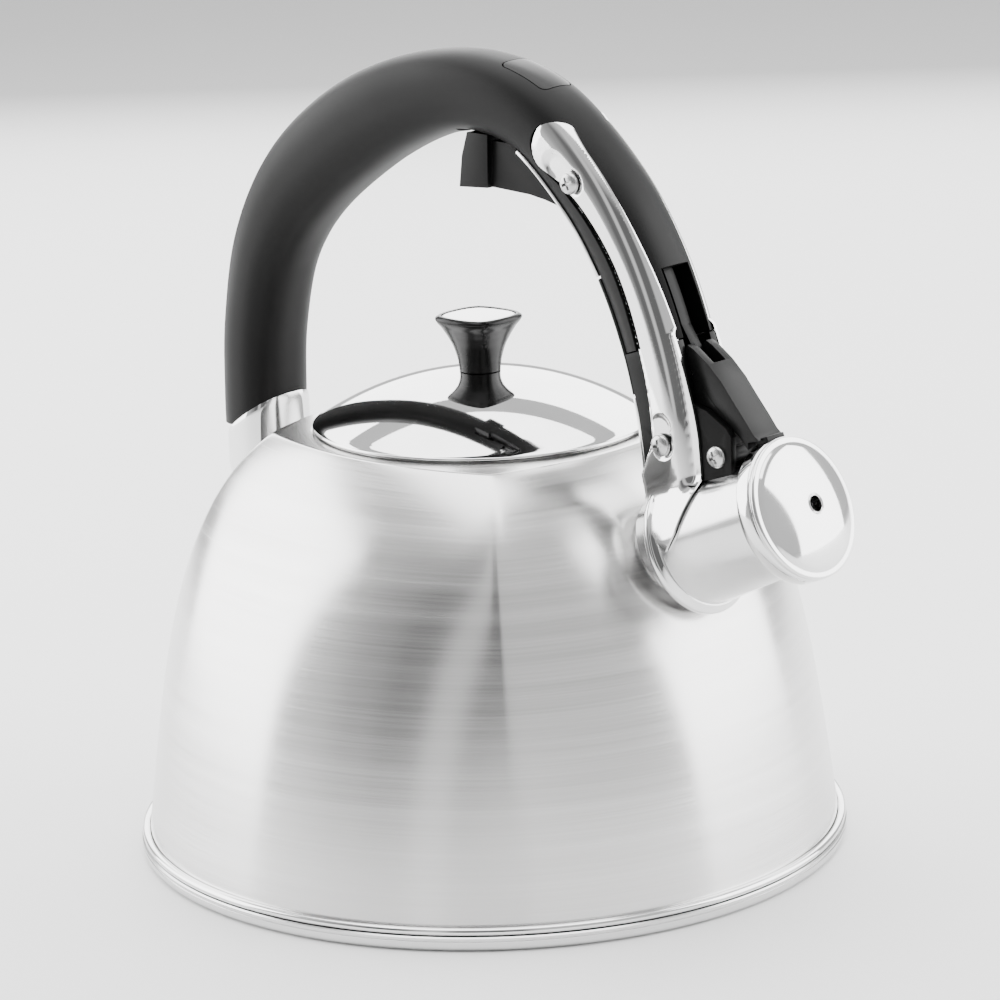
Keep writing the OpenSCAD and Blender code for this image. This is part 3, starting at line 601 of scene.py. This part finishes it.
def boot():
    """Polished ferrule from the grip's slanted end down to the body's wall, bent in lower down."""
    half_t, half_w, rows = GRIP_T / 2 + 0.1, HALF_W + 0.2, 26
    turned_in, gap, bend_h, bend, close_t, close_w = 0.25, 0.12, 14.5, 10, 5, 0.13
    rings = []
    for k in range(rows + 1):
        q = k / rows
        ring = []
        for a in circle(96):
            x, y = squared(a)
            grow = -turned_in * (smooth(0.93, 1, q) ** 2)
            px = -REAR_X + 0.8 + (half_t + grow) * x
            z = mix(BOOT_Z, tilted(px) - gap, q)
            low_part = max(0, 1 - (z - BOOT_Z) / bend_h) ** 2
            px += (bend - close_t * math.cos(a)) * low_part
            ring.append((px, (half_w + grow) * y * (1 - close_w * low_part), z))
        rings.append(ring)
    shell = rings_mesh("rear_boot_shell", rings)
    angles = body_angles(24)
    solid = rings_mesh("inside", [body_ring(t, 0, angles) for t in wall_steps(24)])
    return trim(shell, [solid])


finish_piece(boot(), "root", polished, ["rear_boot"], 40)

# ---- Grip ---------------------------------------------------------------

# Offsets of a side arm's two edges and of its crease, from its head down to its foot
ARM_OUTER = [9.6, 9.4, 9.6, 10.0, 10.4, 11.2, 12.0]
ARM_INNER = [-2.6, -1.6, -0.8, -1.0, -1.7, -2.2, -3.2]
CREASE = [5.2, 4.9, 5.6, 5.2, 3.9, 3.2]
HEAD_S, HEAD_OFF, HEAD_R = 8.47, 2.8, 7.4
ARM_S = (8.75, 12.35)
LEG_IN = -7.6
PLUG_S = 7.67


def arm_edge(edge, t, grow):
    """Point at share t of an edge of the arm, moved out by grow."""
    return beside(mix(*ARM_S, t), spline(edge, t * (len(edge) - 1)) + grow)


def arm_foot(grow=0):
    points = [(18.4, 17.4), (14.6, 11), (10, 4.5), (5.6 + grow, 0.4 - grow), (4.2 - grow, 2.2),
              (0.6, 9.6), (-2.4, 16.5 - grow), (-1.2, 24)]
    return [spout_side(u, v) for u, v in points]


def arm_outline(grow=0.0, m=48):
    """Side arm: rounded head, two flowing edges and a pointed foot."""
    middle, r = beside(HEAD_S, HEAD_OFF), HEAD_R + grow
    a0 = math.atan2(*(beside(HEAD_S, HEAD_OFF + r) - middle)[::-1])
    head = [middle + r * np.array([math.cos(a0 + math.pi * k / 24), math.sin(a0 + math.pi * k / 24)])
            for k in range(24, -1, -1)]
    edge_out = [arm_edge(ARM_OUTER, j / m, grow) for j in range(m + 1)]
    edge_in = [arm_edge(ARM_INNER, j / m, -grow) for j in range(m, -1, -1)]
    return head + edge_out + arm_foot(grow) + edge_in


def grip_half(s):
    """Half thickness of the grip, which swells behind its top."""
    return GRIP_T / 2 + SWELL / 2 * math.exp(-(((s - 4.6) / 1.6) ** 2))


def grip_ring(s, n):
    """Section of the grip at position s along the handle."""
    d, c, half = heading(s), spline(PATH, s), grip_half(s)
    ring = []
    for x, y in (squared(a) for a in circle(n)):
        u = half * x
        ring.append((c[0] - d[1] * u, HALF_W * y, c[1] + d[0] * u))
    return ring


def shifted(points, at):
    return [(at[0] + x, at[1] + z) for x, z in points]


def plug_block(name, grow):
    """Rounded block that sinks into the top of the grip."""
    p, d = spline(PATH, PLUG_S), heading(PLUG_S)
    turn = Matrix.Rotation(-math.atan2(d[1], d[0]), 4, "Y")
    half_x, half_y, r = 13.5 / 2 + grow, 4 + grow, 2.4
    plan = []
    for k, (cx, cy) in enumerate(((1, 1), (-1, 1), (-1, -1), (1, -1))):
        plan += arc(cx * half_x, cy * half_y, r, 90 * k, 90 * k + 90, 8)
    place = Matrix.Translation((p[0], 0, p[1])) @ turn
    return rings_mesh(name, [[place @ Vector((x, y, z)) for x, y in plan] for z in (8.6 - grow, 16.6)])


def grip():
    """Grip cut for the ferrule, the rod's channel, the trigger, the arms, the leg and the inset."""
    body = rings_mesh("grip_sleeve", [grip_ring(mix(0.6, 11.15, j / 190), 72) for j in range(191)])
    slot = [(-34, -30), (-34, 16), (-24, 16.4), (-10, 13), (0, 9.6), (7, 8.2), (13, 5.8), (25.4, 0.9),
            (28.2, -2.6), (27, -14), (8, -24)]
    pad = [(-35.8, -30), (-36.2, 7), (-33.5, 19.2), (-18.6, 18.6), (-20.4, -30)]
    rear, front, under = -REAR_X - 80, -REAR_X + 80, 20
    below = [(rear, tilted(rear)), (front, tilted(front)), (front, under), (rear, under)]
    around, seat_y, past, rib_y, pad_y = 0.4, HALF_W - ARM_T - 0.1, HALF_W + 1, HALF_CH + 0.5, 7.5
    leg_side = strip(8.05, 9.3, -14, LEG_IN + 0.02, 24)
    leg_whole = strip(9.3, 11.3, -14, LEG_IN + 0.02, 30)
    cutters = [
        prism("c", below, -40, 40),
        prism("c", strip(9, 10.3, -5.6, 8.8, 16), -HALF_CH, HALF_CH),
        prism("c", strip(10.3, 11.3, -6.5, 22, 16), -HALF_CH, HALF_CH),
        prism("c", shifted(slot, TRIGGER_REF), -HALF_CH, HALF_CH),
        prism("c", shifted(pad, TRIGGER_REF), -pad_y, pad_y),
        prism("c", arm_outline(around), -HALF_W - 5, -seat_y),
        prism("c", arm_outline(around), seat_y, HALF_W + 5),
        prism("c", leg_side, -past, -rib_y),
        prism("c", leg_side, rib_y, past),
        prism("c", leg_whole, -past, past),
        plug_block("c", 0.3),
    ]
    return trim(body, cutters)


def plug():
    """The part of the grip's shape that fills the rounded block."""
    core = rings_mesh("grip_inset", [grip_ring(mix(7, 8.5, j / 40), 96) for j in range(41)])
    return trim(core, [plug_block("c", 0)], "INTERSECT")


finish_piece(grip(), "root", soft_grip, ["grip"], 38)
finish_piece(plug(), "root", smooth_dark, ["grip_plug"], 38)

# ---- Side arms ----------------------------------------------------------

GRID, FALL, EDGE_TURN, SEAT_DEPTH = 0.55, 0.95, 0.2, 0.9
BLEND, FOOT_OUT = 2.2, 20.2


def distance(points, line):
    """Distance of each point from a line of points."""
    line = np.array(line)
    best = np.full(len(points), 1e9)
    for a, b in zip(line[:-1], line[1:]):
        ab = b - a
        t = np.clip(((points - a) @ ab) / max(ab @ ab, 1e-9), 0, 1)
        best = np.minimum(best, np.linalg.norm(points - a - t[:, None] * ab, axis=1))
    return best


def off_path(points):
    """Position along the handle and offset from its middle, for side view points."""
    steps = np.linspace(8, 13, 251)
    middle = np.array([spline(PATH, s) for s in steps])
    ahead = np.gradient(middle, axis=0)
    ahead /= np.linalg.norm(ahead, axis=1)[:, None]
    near = np.argmin(np.linalg.norm(points[:, None] - middle[None], axis=2), axis=1)
    d = ahead[near]
    return steps[near], np.sum((points - middle[near]) * np.stack([-d[:, 1], d[:, 0]], 1), axis=1)


def grip_side(off):
    """Half width of the grip at an offset from its middle."""
    x = np.clip(np.abs(off) / (GRIP_T / 2), 0, 0.999) ** (1 / SQUARENESS)
    return HALF_W * np.sqrt(1 - x * x) ** SQUARENESS


def arm_depth(points, outline):
    """How far the pressing lies in from the grip's side: crease, rounded edge and screw seats."""
    to_edge = distance(points, outline + outline[:1])
    crease = [beside(mix(8.9, 12.3, k / 20), spline(CREASE, k / 4)) for k in range(21)]
    to_crease = distance(points, crease)
    to_head = np.linalg.norm(points - beside(HEAD_S, HEAD_OFF), axis=1)
    seat_up = np.minimum(np.linalg.norm(points - SCREW_UP, axis=1),
                         distance(points, [SCREW_UP, beside(8.62, 0.2)]) + 0.6)
    seat_low = distance(points, [SCREW_LOW, beside(12.22, 0.6)])
    share = to_crease / (to_crease + to_edge + 0.01)
    depth = (FALL * share**1.4 * smooth(5, 11, to_head)
             + EDGE_TURN * (1 - smooth(0, 0.7, to_edge)))
    press = np.maximum(1 - smooth(3.4, 5.4, seat_up), 1 - smooth(3.4, 5.2, seat_low))
    return np.maximum(depth, SEAT_DEPTH * press) - 0.12


def arm_outside(points, depth):
    """Distance of the arm's outer face from the middle plane: over the grip, then over the spout."""
    apart = points - [SPOUT_AT[0], SPOUT_AT[2]]
    u, v = apart @ [ALONG[0], ALONG[2]], apart @ [ABOVE[0], ABOVE[2]]
    pipe = ROOT_R + (TIP_R - ROOT_R) * np.clip((u - 2.5) / (MOUTH_U - 3.5), 0, 1) + 0.1
    pipe_y = np.sqrt(np.maximum(pipe**2 - v**2, 0)) + ARM_T
    at, off = off_path(points)
    rolled = np.maximum(grip_side(off) + 0.5, (EAR_Y + 1.3) * smooth(10.8, 11.1, at))
    flat_y = np.where(off > 3, np.minimum(HALF_W - depth, rolled), HALF_W - depth)
    joined = 0.5 * (flat_y + pipe_y + np.sqrt((flat_y - pipe_y) ** 2 + BLEND**2)) - 0.12
    out = np.where(v < 22, joined, flat_y)
    return mix(np.minimum(out, FOOT_OUT), flat_y, smooth(20, 24, v))


def arm(name, side):
    """Pressed steel arm: a relief over the side view, cut to the outline."""
    outline = arm_outline()
    x0, z0 = np.min(outline, axis=0) - 1
    x1, z1 = np.max(outline, axis=0) + 1
    gx, gz = np.meshgrid(np.arange(x0, x1, GRID), np.arange(z0, z1, GRID), indexing="ij")
    points = np.stack([gx.ravel(), gz.ravel()], 1)
    out = arm_outside(points, arm_depth(points, outline))
    nx, nz = gx.shape
    outer = np.stack([points[:, 0], out, points[:, 1]], 1)
    inner = np.stack([points[:, 0], out - ARM_T * 0.8, points[:, 1]], 1)
    verts = np.concatenate([outer, inner]) * [1, side, 1]
    faces = []
    back = nx * nz
    for i in range(nx - 1):
        for j in range(nz - 1):
            q = (i * nz + j, (i + 1) * nz + j, (i + 1) * nz + j + 1, i * nz + j + 1)
            faces += [q, tuple(back + k for k in q[::-1])]
    border = ([(i, 0) for i in range(nx)] + [(nx - 1, j) for j in range(1, nz)]
              + [(i, nz - 1) for i in range(nx - 2, -1, -1)] + [(0, j) for j in range(nz - 2, 0, -1)])
    ids = [i * nz + j for i, j in border]
    faces += [(a, back + a, back + b, b) for a, b in zip(ids, ids[1:] + ids[:1])]
    sheet = clean(new_mesh(name, verts, faces))
    return trim(sheet, [prism("c", outline, -30, 30)], "INTERSECT")


for side_name, side in (("arm_right", -1), ("arm_left", 1)):
    finish_piece(arm(side_name + "_pressing", side), "root", polished, [side_name], 50)

# ---- Screws -------------------------------------------------------------


def screw_head(name):
    """Pan head with a cross recess, facing +Z, one unit of radius wide."""
    profile = [(0, 0), (1, 0), (1, 0.12), (0.97, 0.24), (0.88, 0.36), (0.72, 0.45), (0.45, 0.5),
               (0, 0.52)]
    head = lathe(name, profile, n=48)
    cross_w, cross_l, half_h, middle = 0.13, 0.58, 0.28, (0, 0, 0.46)
    return trim(head, [block("c", (cross_l, cross_w, half_h), middle),
                       block("c", (cross_w, cross_l, half_h), middle)])


def screw_set(name, places, head_r, turn, coat):
    """Geometry nodes: one screw head on each point, turned along the point's normal."""
    head = screw_head("head")
    seat = bpy.data.meshes.new(name)
    seat.from_pydata([tuple(c * MM for c in p) for p, _ in places], [], [])
    facing = seat.attributes.new("facing", "FLOAT_VECTOR", "POINT")
    facing.data.foreach_set("vector", [c for _, f in places for c in f])
    obj = add_object(name, seat)
    tree = bpy.data.node_groups.new("screw_heads", "GeometryNodeTree")
    tree.interface.new_socket("Geometry", in_out="INPUT", socket_type="NodeSocketGeometry")
    size = tree.interface.new_socket("Head Radius", in_out="INPUT", socket_type="NodeSocketFloat")
    spin = tree.interface.new_socket("Recess Turn", in_out="INPUT", socket_type="NodeSocketFloat")
    tree.interface.new_socket("Geometry", in_out="OUTPUT", socket_type="NodeSocketGeometry")
    link = tree.links.new
    given, out = tree.nodes.new("NodeGroupInput"), tree.nodes.new("NodeGroupOutput")
    piece = node(tree, "GeometryNodeObjectInfo")
    piece.inputs["Object"].default_value = head
    normal = node(tree, "GeometryNodeInputNamedAttribute", data_type="FLOAT_VECTOR")
    normal.inputs["Name"].default_value = "facing"
    align = node(tree, "FunctionNodeAlignRotationToVector", axis="Z")
    link(normal.outputs["Attribute"], align.inputs["Vector"])
    around = node(tree, "ShaderNodeCombineXYZ")
    link(given.outputs["Recess Turn"], around.inputs["Z"])
    to_turn = node(tree, "FunctionNodeEulerToRotation")
    link(around.outputs[0], to_turn.inputs[0])
    rotate = node(tree, "FunctionNodeRotateRotation", rotation_space="LOCAL")
    link(align.outputs[0], rotate.inputs["Rotation"])
    link(to_turn.outputs[0], rotate.inputs["Rotate By"])
    copies = node(tree, "GeometryNodeInstanceOnPoints")
    link(given.outputs["Geometry"], copies.inputs["Points"])
    link(piece.outputs["Geometry"], copies.inputs["Instance"])
    link(rotate.outputs[0], copies.inputs["Rotation"])
    link(given.outputs["Head Radius"], copies.inputs["Scale"])
    real = node(tree, "GeometryNodeRealizeInstances")
    link(copies.outputs[0], real.inputs[0])
    coated = node(tree, "GeometryNodeSetMaterial")
    coated.inputs["Material"].default_value = coat
    link(real.outputs[0], coated.inputs["Geometry"])
    link(coated.outputs[0], out.inputs[0])
    maker = obj.modifiers.new("heads", "NODES")
    maker.node_group = tree
    maker[size.identifier] = head_r
    maker[spin.identifier] = turn
    settle(obj)
    bpy.data.objects.remove(head)
    return obj


def both(p, y):
    """The same point of the side view on both sides, each with its outward direction."""
    return [((p[0], -y, p[1]), (0, -1, 0)), ((p[0], y, p[1]), (0, 1, 0))]


SCREW_HEAD_R, SCREW_SEAT = 3.3, HALF_W - 0.15
SCREWS = (
    ("upper_screw_heads", both(SCREW_UP, SCREW_SEAT), 0.4, "upper_arm_screws"),
    ("lower_screw_heads", both(SCREW_LOW, SCREW_SEAT), 0.2, "lower_arm_screws"),
    ("pivot_heads", both(LEVER_PIVOT, EAR_Y), 0.5, "pivot_pin"),
)
for name, places, turn, source in SCREWS:
    heads = screw_set(name, places, SCREW_HEAD_R, turn, plain_steel)
    finish_piece(heads, "root", plain_steel, [source])

# ---- Moulded and bent pieces with rounded edges -------------------------

ROUNDED = (
    ("leg_core", "leg_housing", 0.5, "root", "smooth_black", smooth_dark),
    ("liner_upper", "leg_liner", 0.25, "root", "plain_steel", polished),
    ("liner_cover", "leg_cover", 0.4, "root", "smooth_black", smooth_dark),
    ("foot_bracket", "leg_bracket", 0.25, "root", "plain_steel", polished),
    ("trigger", "trigger_hook", 1.1, "trigger", "soft_black", soft_grip),
    ("push_rod", "push_rod_bar", 0.5, "push_rod", "smooth_black", smooth_dark),
    ("spout_lever", "cap_lever_arm", 0.8, "cap_lever", "smooth_black", lever_dark),
    ("lever_clip", "cap_clip", 0.3, "cap_lever", "smooth_black", smooth_dark),
)


def beside_arm(side):
    """What lies outside the side arm's inner surface, past the crease, along the front leg."""
    ear, clear = EAR_Y + 0.05, 24
    offs = [2.5] + list(np.linspace(3, 11.4, 15)) + [14, 14, 2.5]
    reach = [HALF_W] + [max(ear, grip_side(o) - 0.55) for o in offs[1:-3]] + [ear, clear, clear]
    rings = []
    for s in np.linspace(11.1, 12.98, 30):
        ring = [(beside(s, o), y) for o, y in zip(offs, reach)]
        rings.append([(p[0], side * y, p[1]) for p, y in ring])
    return rings_mesh("c", rings)


for source, name, width, body, slot_name, coat in ROUNDED:
    piece = copy_of(source, name)
    if name == "leg_housing":
        piece = trim(piece, [beside_arm(-1), beside_arm(1)])
    piece = soften(piece, width)
    finish_piece(piece, body, coat, [source], 40)

# ---- Lid ----------------------------------------------------------------


LID_SHEET, SCREW_HOLE, LIP_IN = 1, 2.1, 1.9


def lid():
    """Dome of the lid: part of a sphere, with a fine bead round its edge."""
    rise = DOME_Z - LID_Z - LID_SHEET
    rim_r = LID_R - 0.6
    big = (rim_r**2 + rise**2) / (2 * rise)
    mid = DOME_Z - big

    def at(r, radius):
        return (r, mid + math.sqrt(radius**2 - r**2))

    outer = [at(mix(SCREW_HOLE, rim_r - 0.8, i / 48), big) for i in range(49)]
    bead = arc(LID_R - 0.5, LID_Z + 0.52, 0.48, 80, -90, 10)
    lip = NECK_R - LIP_IN
    under = [(lip, LID_Z), (lip, LID_Z + LID_SHEET)]
    inner = [at(mix(lip, SCREW_HOLE, i / 30), big - LID_SHEET) for i in range(31)]
    return lathe("lid_dome", outer + bead + under + inner, n=256)


# Share of the knob's height, and its width there
KNOB = [(0, 1), (0.12, 1.03), (0.26, 1.11), (0.46, 1.29), (0.64, 1.55), (0.78, 1.8), (0.9, 2.06),
        (0.96, 2.09), (1, 1.98)]


def knob_ring(q, drop, n, inset=0.0):
    """Ring of the knob at share q of its height, a square with soft corners towards the top."""
    level = float(np.interp(q, [k[0] for k in KNOB], range(len(KNOB))))
    r = KNOB_FOOT + (float(spline([k[1] for k in KNOB], level)) - 1) * (KNOB_TOP - KNOB_FOOT) / 1.09
    ring = []
    for a in circle(n):
        f = abs(((math.degrees(a) + 405) % 90) - 45) / 45
        f = 1 - (math.hypot(1 - f, 0.12) - 0.12)
        ring.append(upright((r - inset) * (1 - 0.13 * q * (1 - f * f)), DOME_Z + KNOB_H * q - drop, a))
    return ring


def knob():
    """Knob with a seat in its top for the inset disc."""
    n = 128
    rings = [knob_ring(q, 0, n) for q in np.linspace(0, 0.97, 44)]
    for drop, inset in ((0.18, -0.05), (0.03, 0.12), (0, 0.4), (0.03, 1.05), (0.25, 1.2), (1.0, 1.25)):
        rings.append(knob_ring(1, drop, n, inset))
    for z in (DOME_Z + KNOB_H - 1.0, DOME_Z):
        rings.append([upright(KNOB_BORE, z, a) for a in circle(n)])
    return rings_mesh("lid_knob", rings, loop=True)


def knob_plate():
    """Polished disc inset in the knob's top."""
    levels = ((0.95, 1.55), (0.3, 1.5), (0.2, 1.6), (0.16, 1.85), (0.14, 5), (0.14, 9))
    return rings_mesh("knob_plate", [knob_ring(1, drop, 128, inset) for drop, inset in levels])


finish_piece(lid(), "lid", mirror_lid, ["lid_shell"], 40)
finish_piece(knob(), "lid", gloss_knob, ["knob"], 40)
finish_piece(knob_plate(), "lid", polished, ["knob_disc"], 40)

# ---- CAD nodes shown as they are ----------------------------------------

CARRIED = {
    "base_floor": brushed_body, "base_core": core_metal, "neck_ring": brushed_body,
    "rear_bracket": plain_steel, "rear_screw": plain_steel, "trigger_pin": plain_steel,
    "trigger_spring": plain_steel, "rod_pin": plain_steel, "whistle_plate": plain_steel,
    "cap_seal": seal_grey, "lid_skirt": plain_steel, "lid_washer": plain_steel,
    "lid_screw": plain_steel,
}
for name, coat in CARRIED.items():
    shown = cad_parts[name]
    shown.data.materials.clear()
    shown.data.materials.append(coat)

# ---- Floor, light and camera --------------------------------------------

# Brightness of the white tent round the kettle, by angle from the camera to its right: the tent
# opens at the camera, with a strip of white down the opening
TENT = [(-90, 1), (-70, 0.9), (-52, 0.45), (-40, 0.2), (-31, 0.22), (-25, 1), (-20, 1), (-13, 0.2),
        (7, 0.2), (15, 0.9), (90, 1)]
TENT_POWER, ROOF_FROM, ROOF_FULL = 0.9, 0.62, 0.85
AZIMUTH, ELEVATION, ROLL = math.radians(42.8), math.radians(14.40), math.radians(-1.76)
RIGHT = Vector((math.cos(AZIMUTH), math.sin(AZIMUTH), 0))
BACK = Vector((math.sin(AZIMUTH) * math.cos(ELEVATION), -math.cos(AZIMUTH) * math.cos(ELEVATION),
               math.sin(ELEVATION)))
LEVEL_BACK = Vector((BACK.x, BACK.y, 0)).normalized()
AIM_RIGHT, AIM_UP, DISTANCE, SENSOR, LENS = 4.8, 105.6, 1202, 36, 140.9
FLOOR = 3000
# How far right of, behind and above the kettle each softbox stands, its width, height and power
LAMPS = (
    ("left_softbox", -1150, 350, 520, 1300, 1200, 30),
    ("right_softbox", 1150, 100, 520, 1200, 1200, 26),
    ("top_softbox", 0, 100, 1250, 1300, 1300, 24),
    ("back_softbox", 0, 1300, 700, 1600, 1000, 26),
)


def studio():
    """White floor, and a world that is a bright tent with a dark opening at the camera."""
    corners = [(x * FLOOR, y * FLOOR, 0) for x, y in ((-1, -1), (1, -1), (1, 1), (-1, 1))]
    floor = new_mesh("floor", corners, [(0, 1, 2, 3)])
    paper = finish("paper", GRAIN, {"Grain": 300.0, "Wander": 2.0}, (grey(0.86), grey(0.88)),
                   (0.6, 0.7), 0.0, (0.02, 0.02))
    floor.data.materials.append(paper)
    world = bpy.context.scene.world or bpy.data.worlds.new("studio")
    bpy.context.scene.world = world
    world.use_nodes = True
    tree = world.node_tree
    link = tree.links.new
    air = tree.nodes["Background"]
    way = node(tree, "ShaderNodeTexCoord")
    sideways = node(tree, "ShaderNodeVectorMath", operation="DOT_PRODUCT")
    sideways.inputs[1].default_value = RIGHT
    forwards = node(tree, "ShaderNodeVectorMath", operation="DOT_PRODUCT")
    forwards.inputs[1].default_value = LEVEL_BACK
    for part in (sideways, forwards):
        link(way.outputs["Generated"], part.inputs[0])
    turn = node(tree, "ShaderNodeMath", operation="ARCTAN2")
    link(sideways.outputs["Value"], turn.inputs[0])
    link(forwards.outputs["Value"], turn.inputs[1])
    share = node(tree, "ShaderNodeMapRange")
    for key, value in (("From Min", -math.pi / 2), ("From Max", math.pi / 2)):
        share.inputs[key].default_value = value
    link(turn.outputs[0], share.inputs["Value"])
    tent = node(tree, "ShaderNodeValToRGB")
    bands = tent.color_ramp
    bands.interpolation = "EASE"
    for degrees, level in TENT[1:-1]:
        bands.elements.new(0.5 + degrees / 180).color = (*grey(level), 1)
    bands.elements[0].color = (*grey(TENT[0][1]), 1)
    bands.elements[-1].color = (*grey(TENT[-1][1]), 1)
    link(share.outputs["Result"], tent.inputs["Fac"])
    height = node(tree, "ShaderNodeSeparateXYZ")
    link(way.outputs["Generated"], height.inputs[0])
    above = node(tree, "ShaderNodeMapRange", interpolation_type="SMOOTHSTEP")
    above.inputs["From Min"].default_value = ROOF_FROM
    above.inputs["From Max"].default_value = ROOF_FULL
    link(height.outputs["Z"], above.inputs["Value"])
    sky = node(tree, "ShaderNodeMix", data_type="RGBA")
    link(above.outputs["Result"], sky.inputs["Factor"])
    link(tent.outputs["Color"], sky.inputs[6])
    sky.inputs[7].default_value = (1, 1, 1, 1)
    link(sky.outputs[2], air.inputs["Color"])
    air.inputs["Strength"].default_value = TENT_POWER


def lamp(name, right, back, up, width, height, watts):
    """Softbox aimed at the kettle's middle."""
    data = bpy.data.lights.new(name, "AREA")
    data.shape, data.size, data.size_y, data.energy = "RECTANGLE", width * MM, height * MM, watts
    obj = add_object(name, data)
    at = RIGHT * right - LEVEL_BACK * back + Vector((0, 0, up))
    obj.location = at * MM
    obj.rotation_euler = (at - Vector((0, 0, 110))).to_track_quat("Z", "Y").to_euler()


def camera():
    up = BACK.cross(RIGHT)
    across = RIGHT * math.cos(ROLL) + up * math.sin(ROLL)
    upward = -RIGHT * math.sin(ROLL) + up * math.cos(ROLL)
    target = RIGHT * AIM_RIGHT + Vector((0, 0, AIM_UP))
    data = bpy.data.cameras.new("camera")
    data.sensor_width, data.lens = SENSOR, LENS
    obj = add_object("camera", data)
    axes = Matrix((across, upward, BACK)).transposed()
    obj.matrix_world = Matrix.Translation((target + BACK * DISTANCE) * MM) @ axes.to_4x4()
    bpy.context.scene.camera = obj


studio()
for softbox in LAMPS:
    lamp(*softbox)
camera()

bpy.context.view_layer.update()
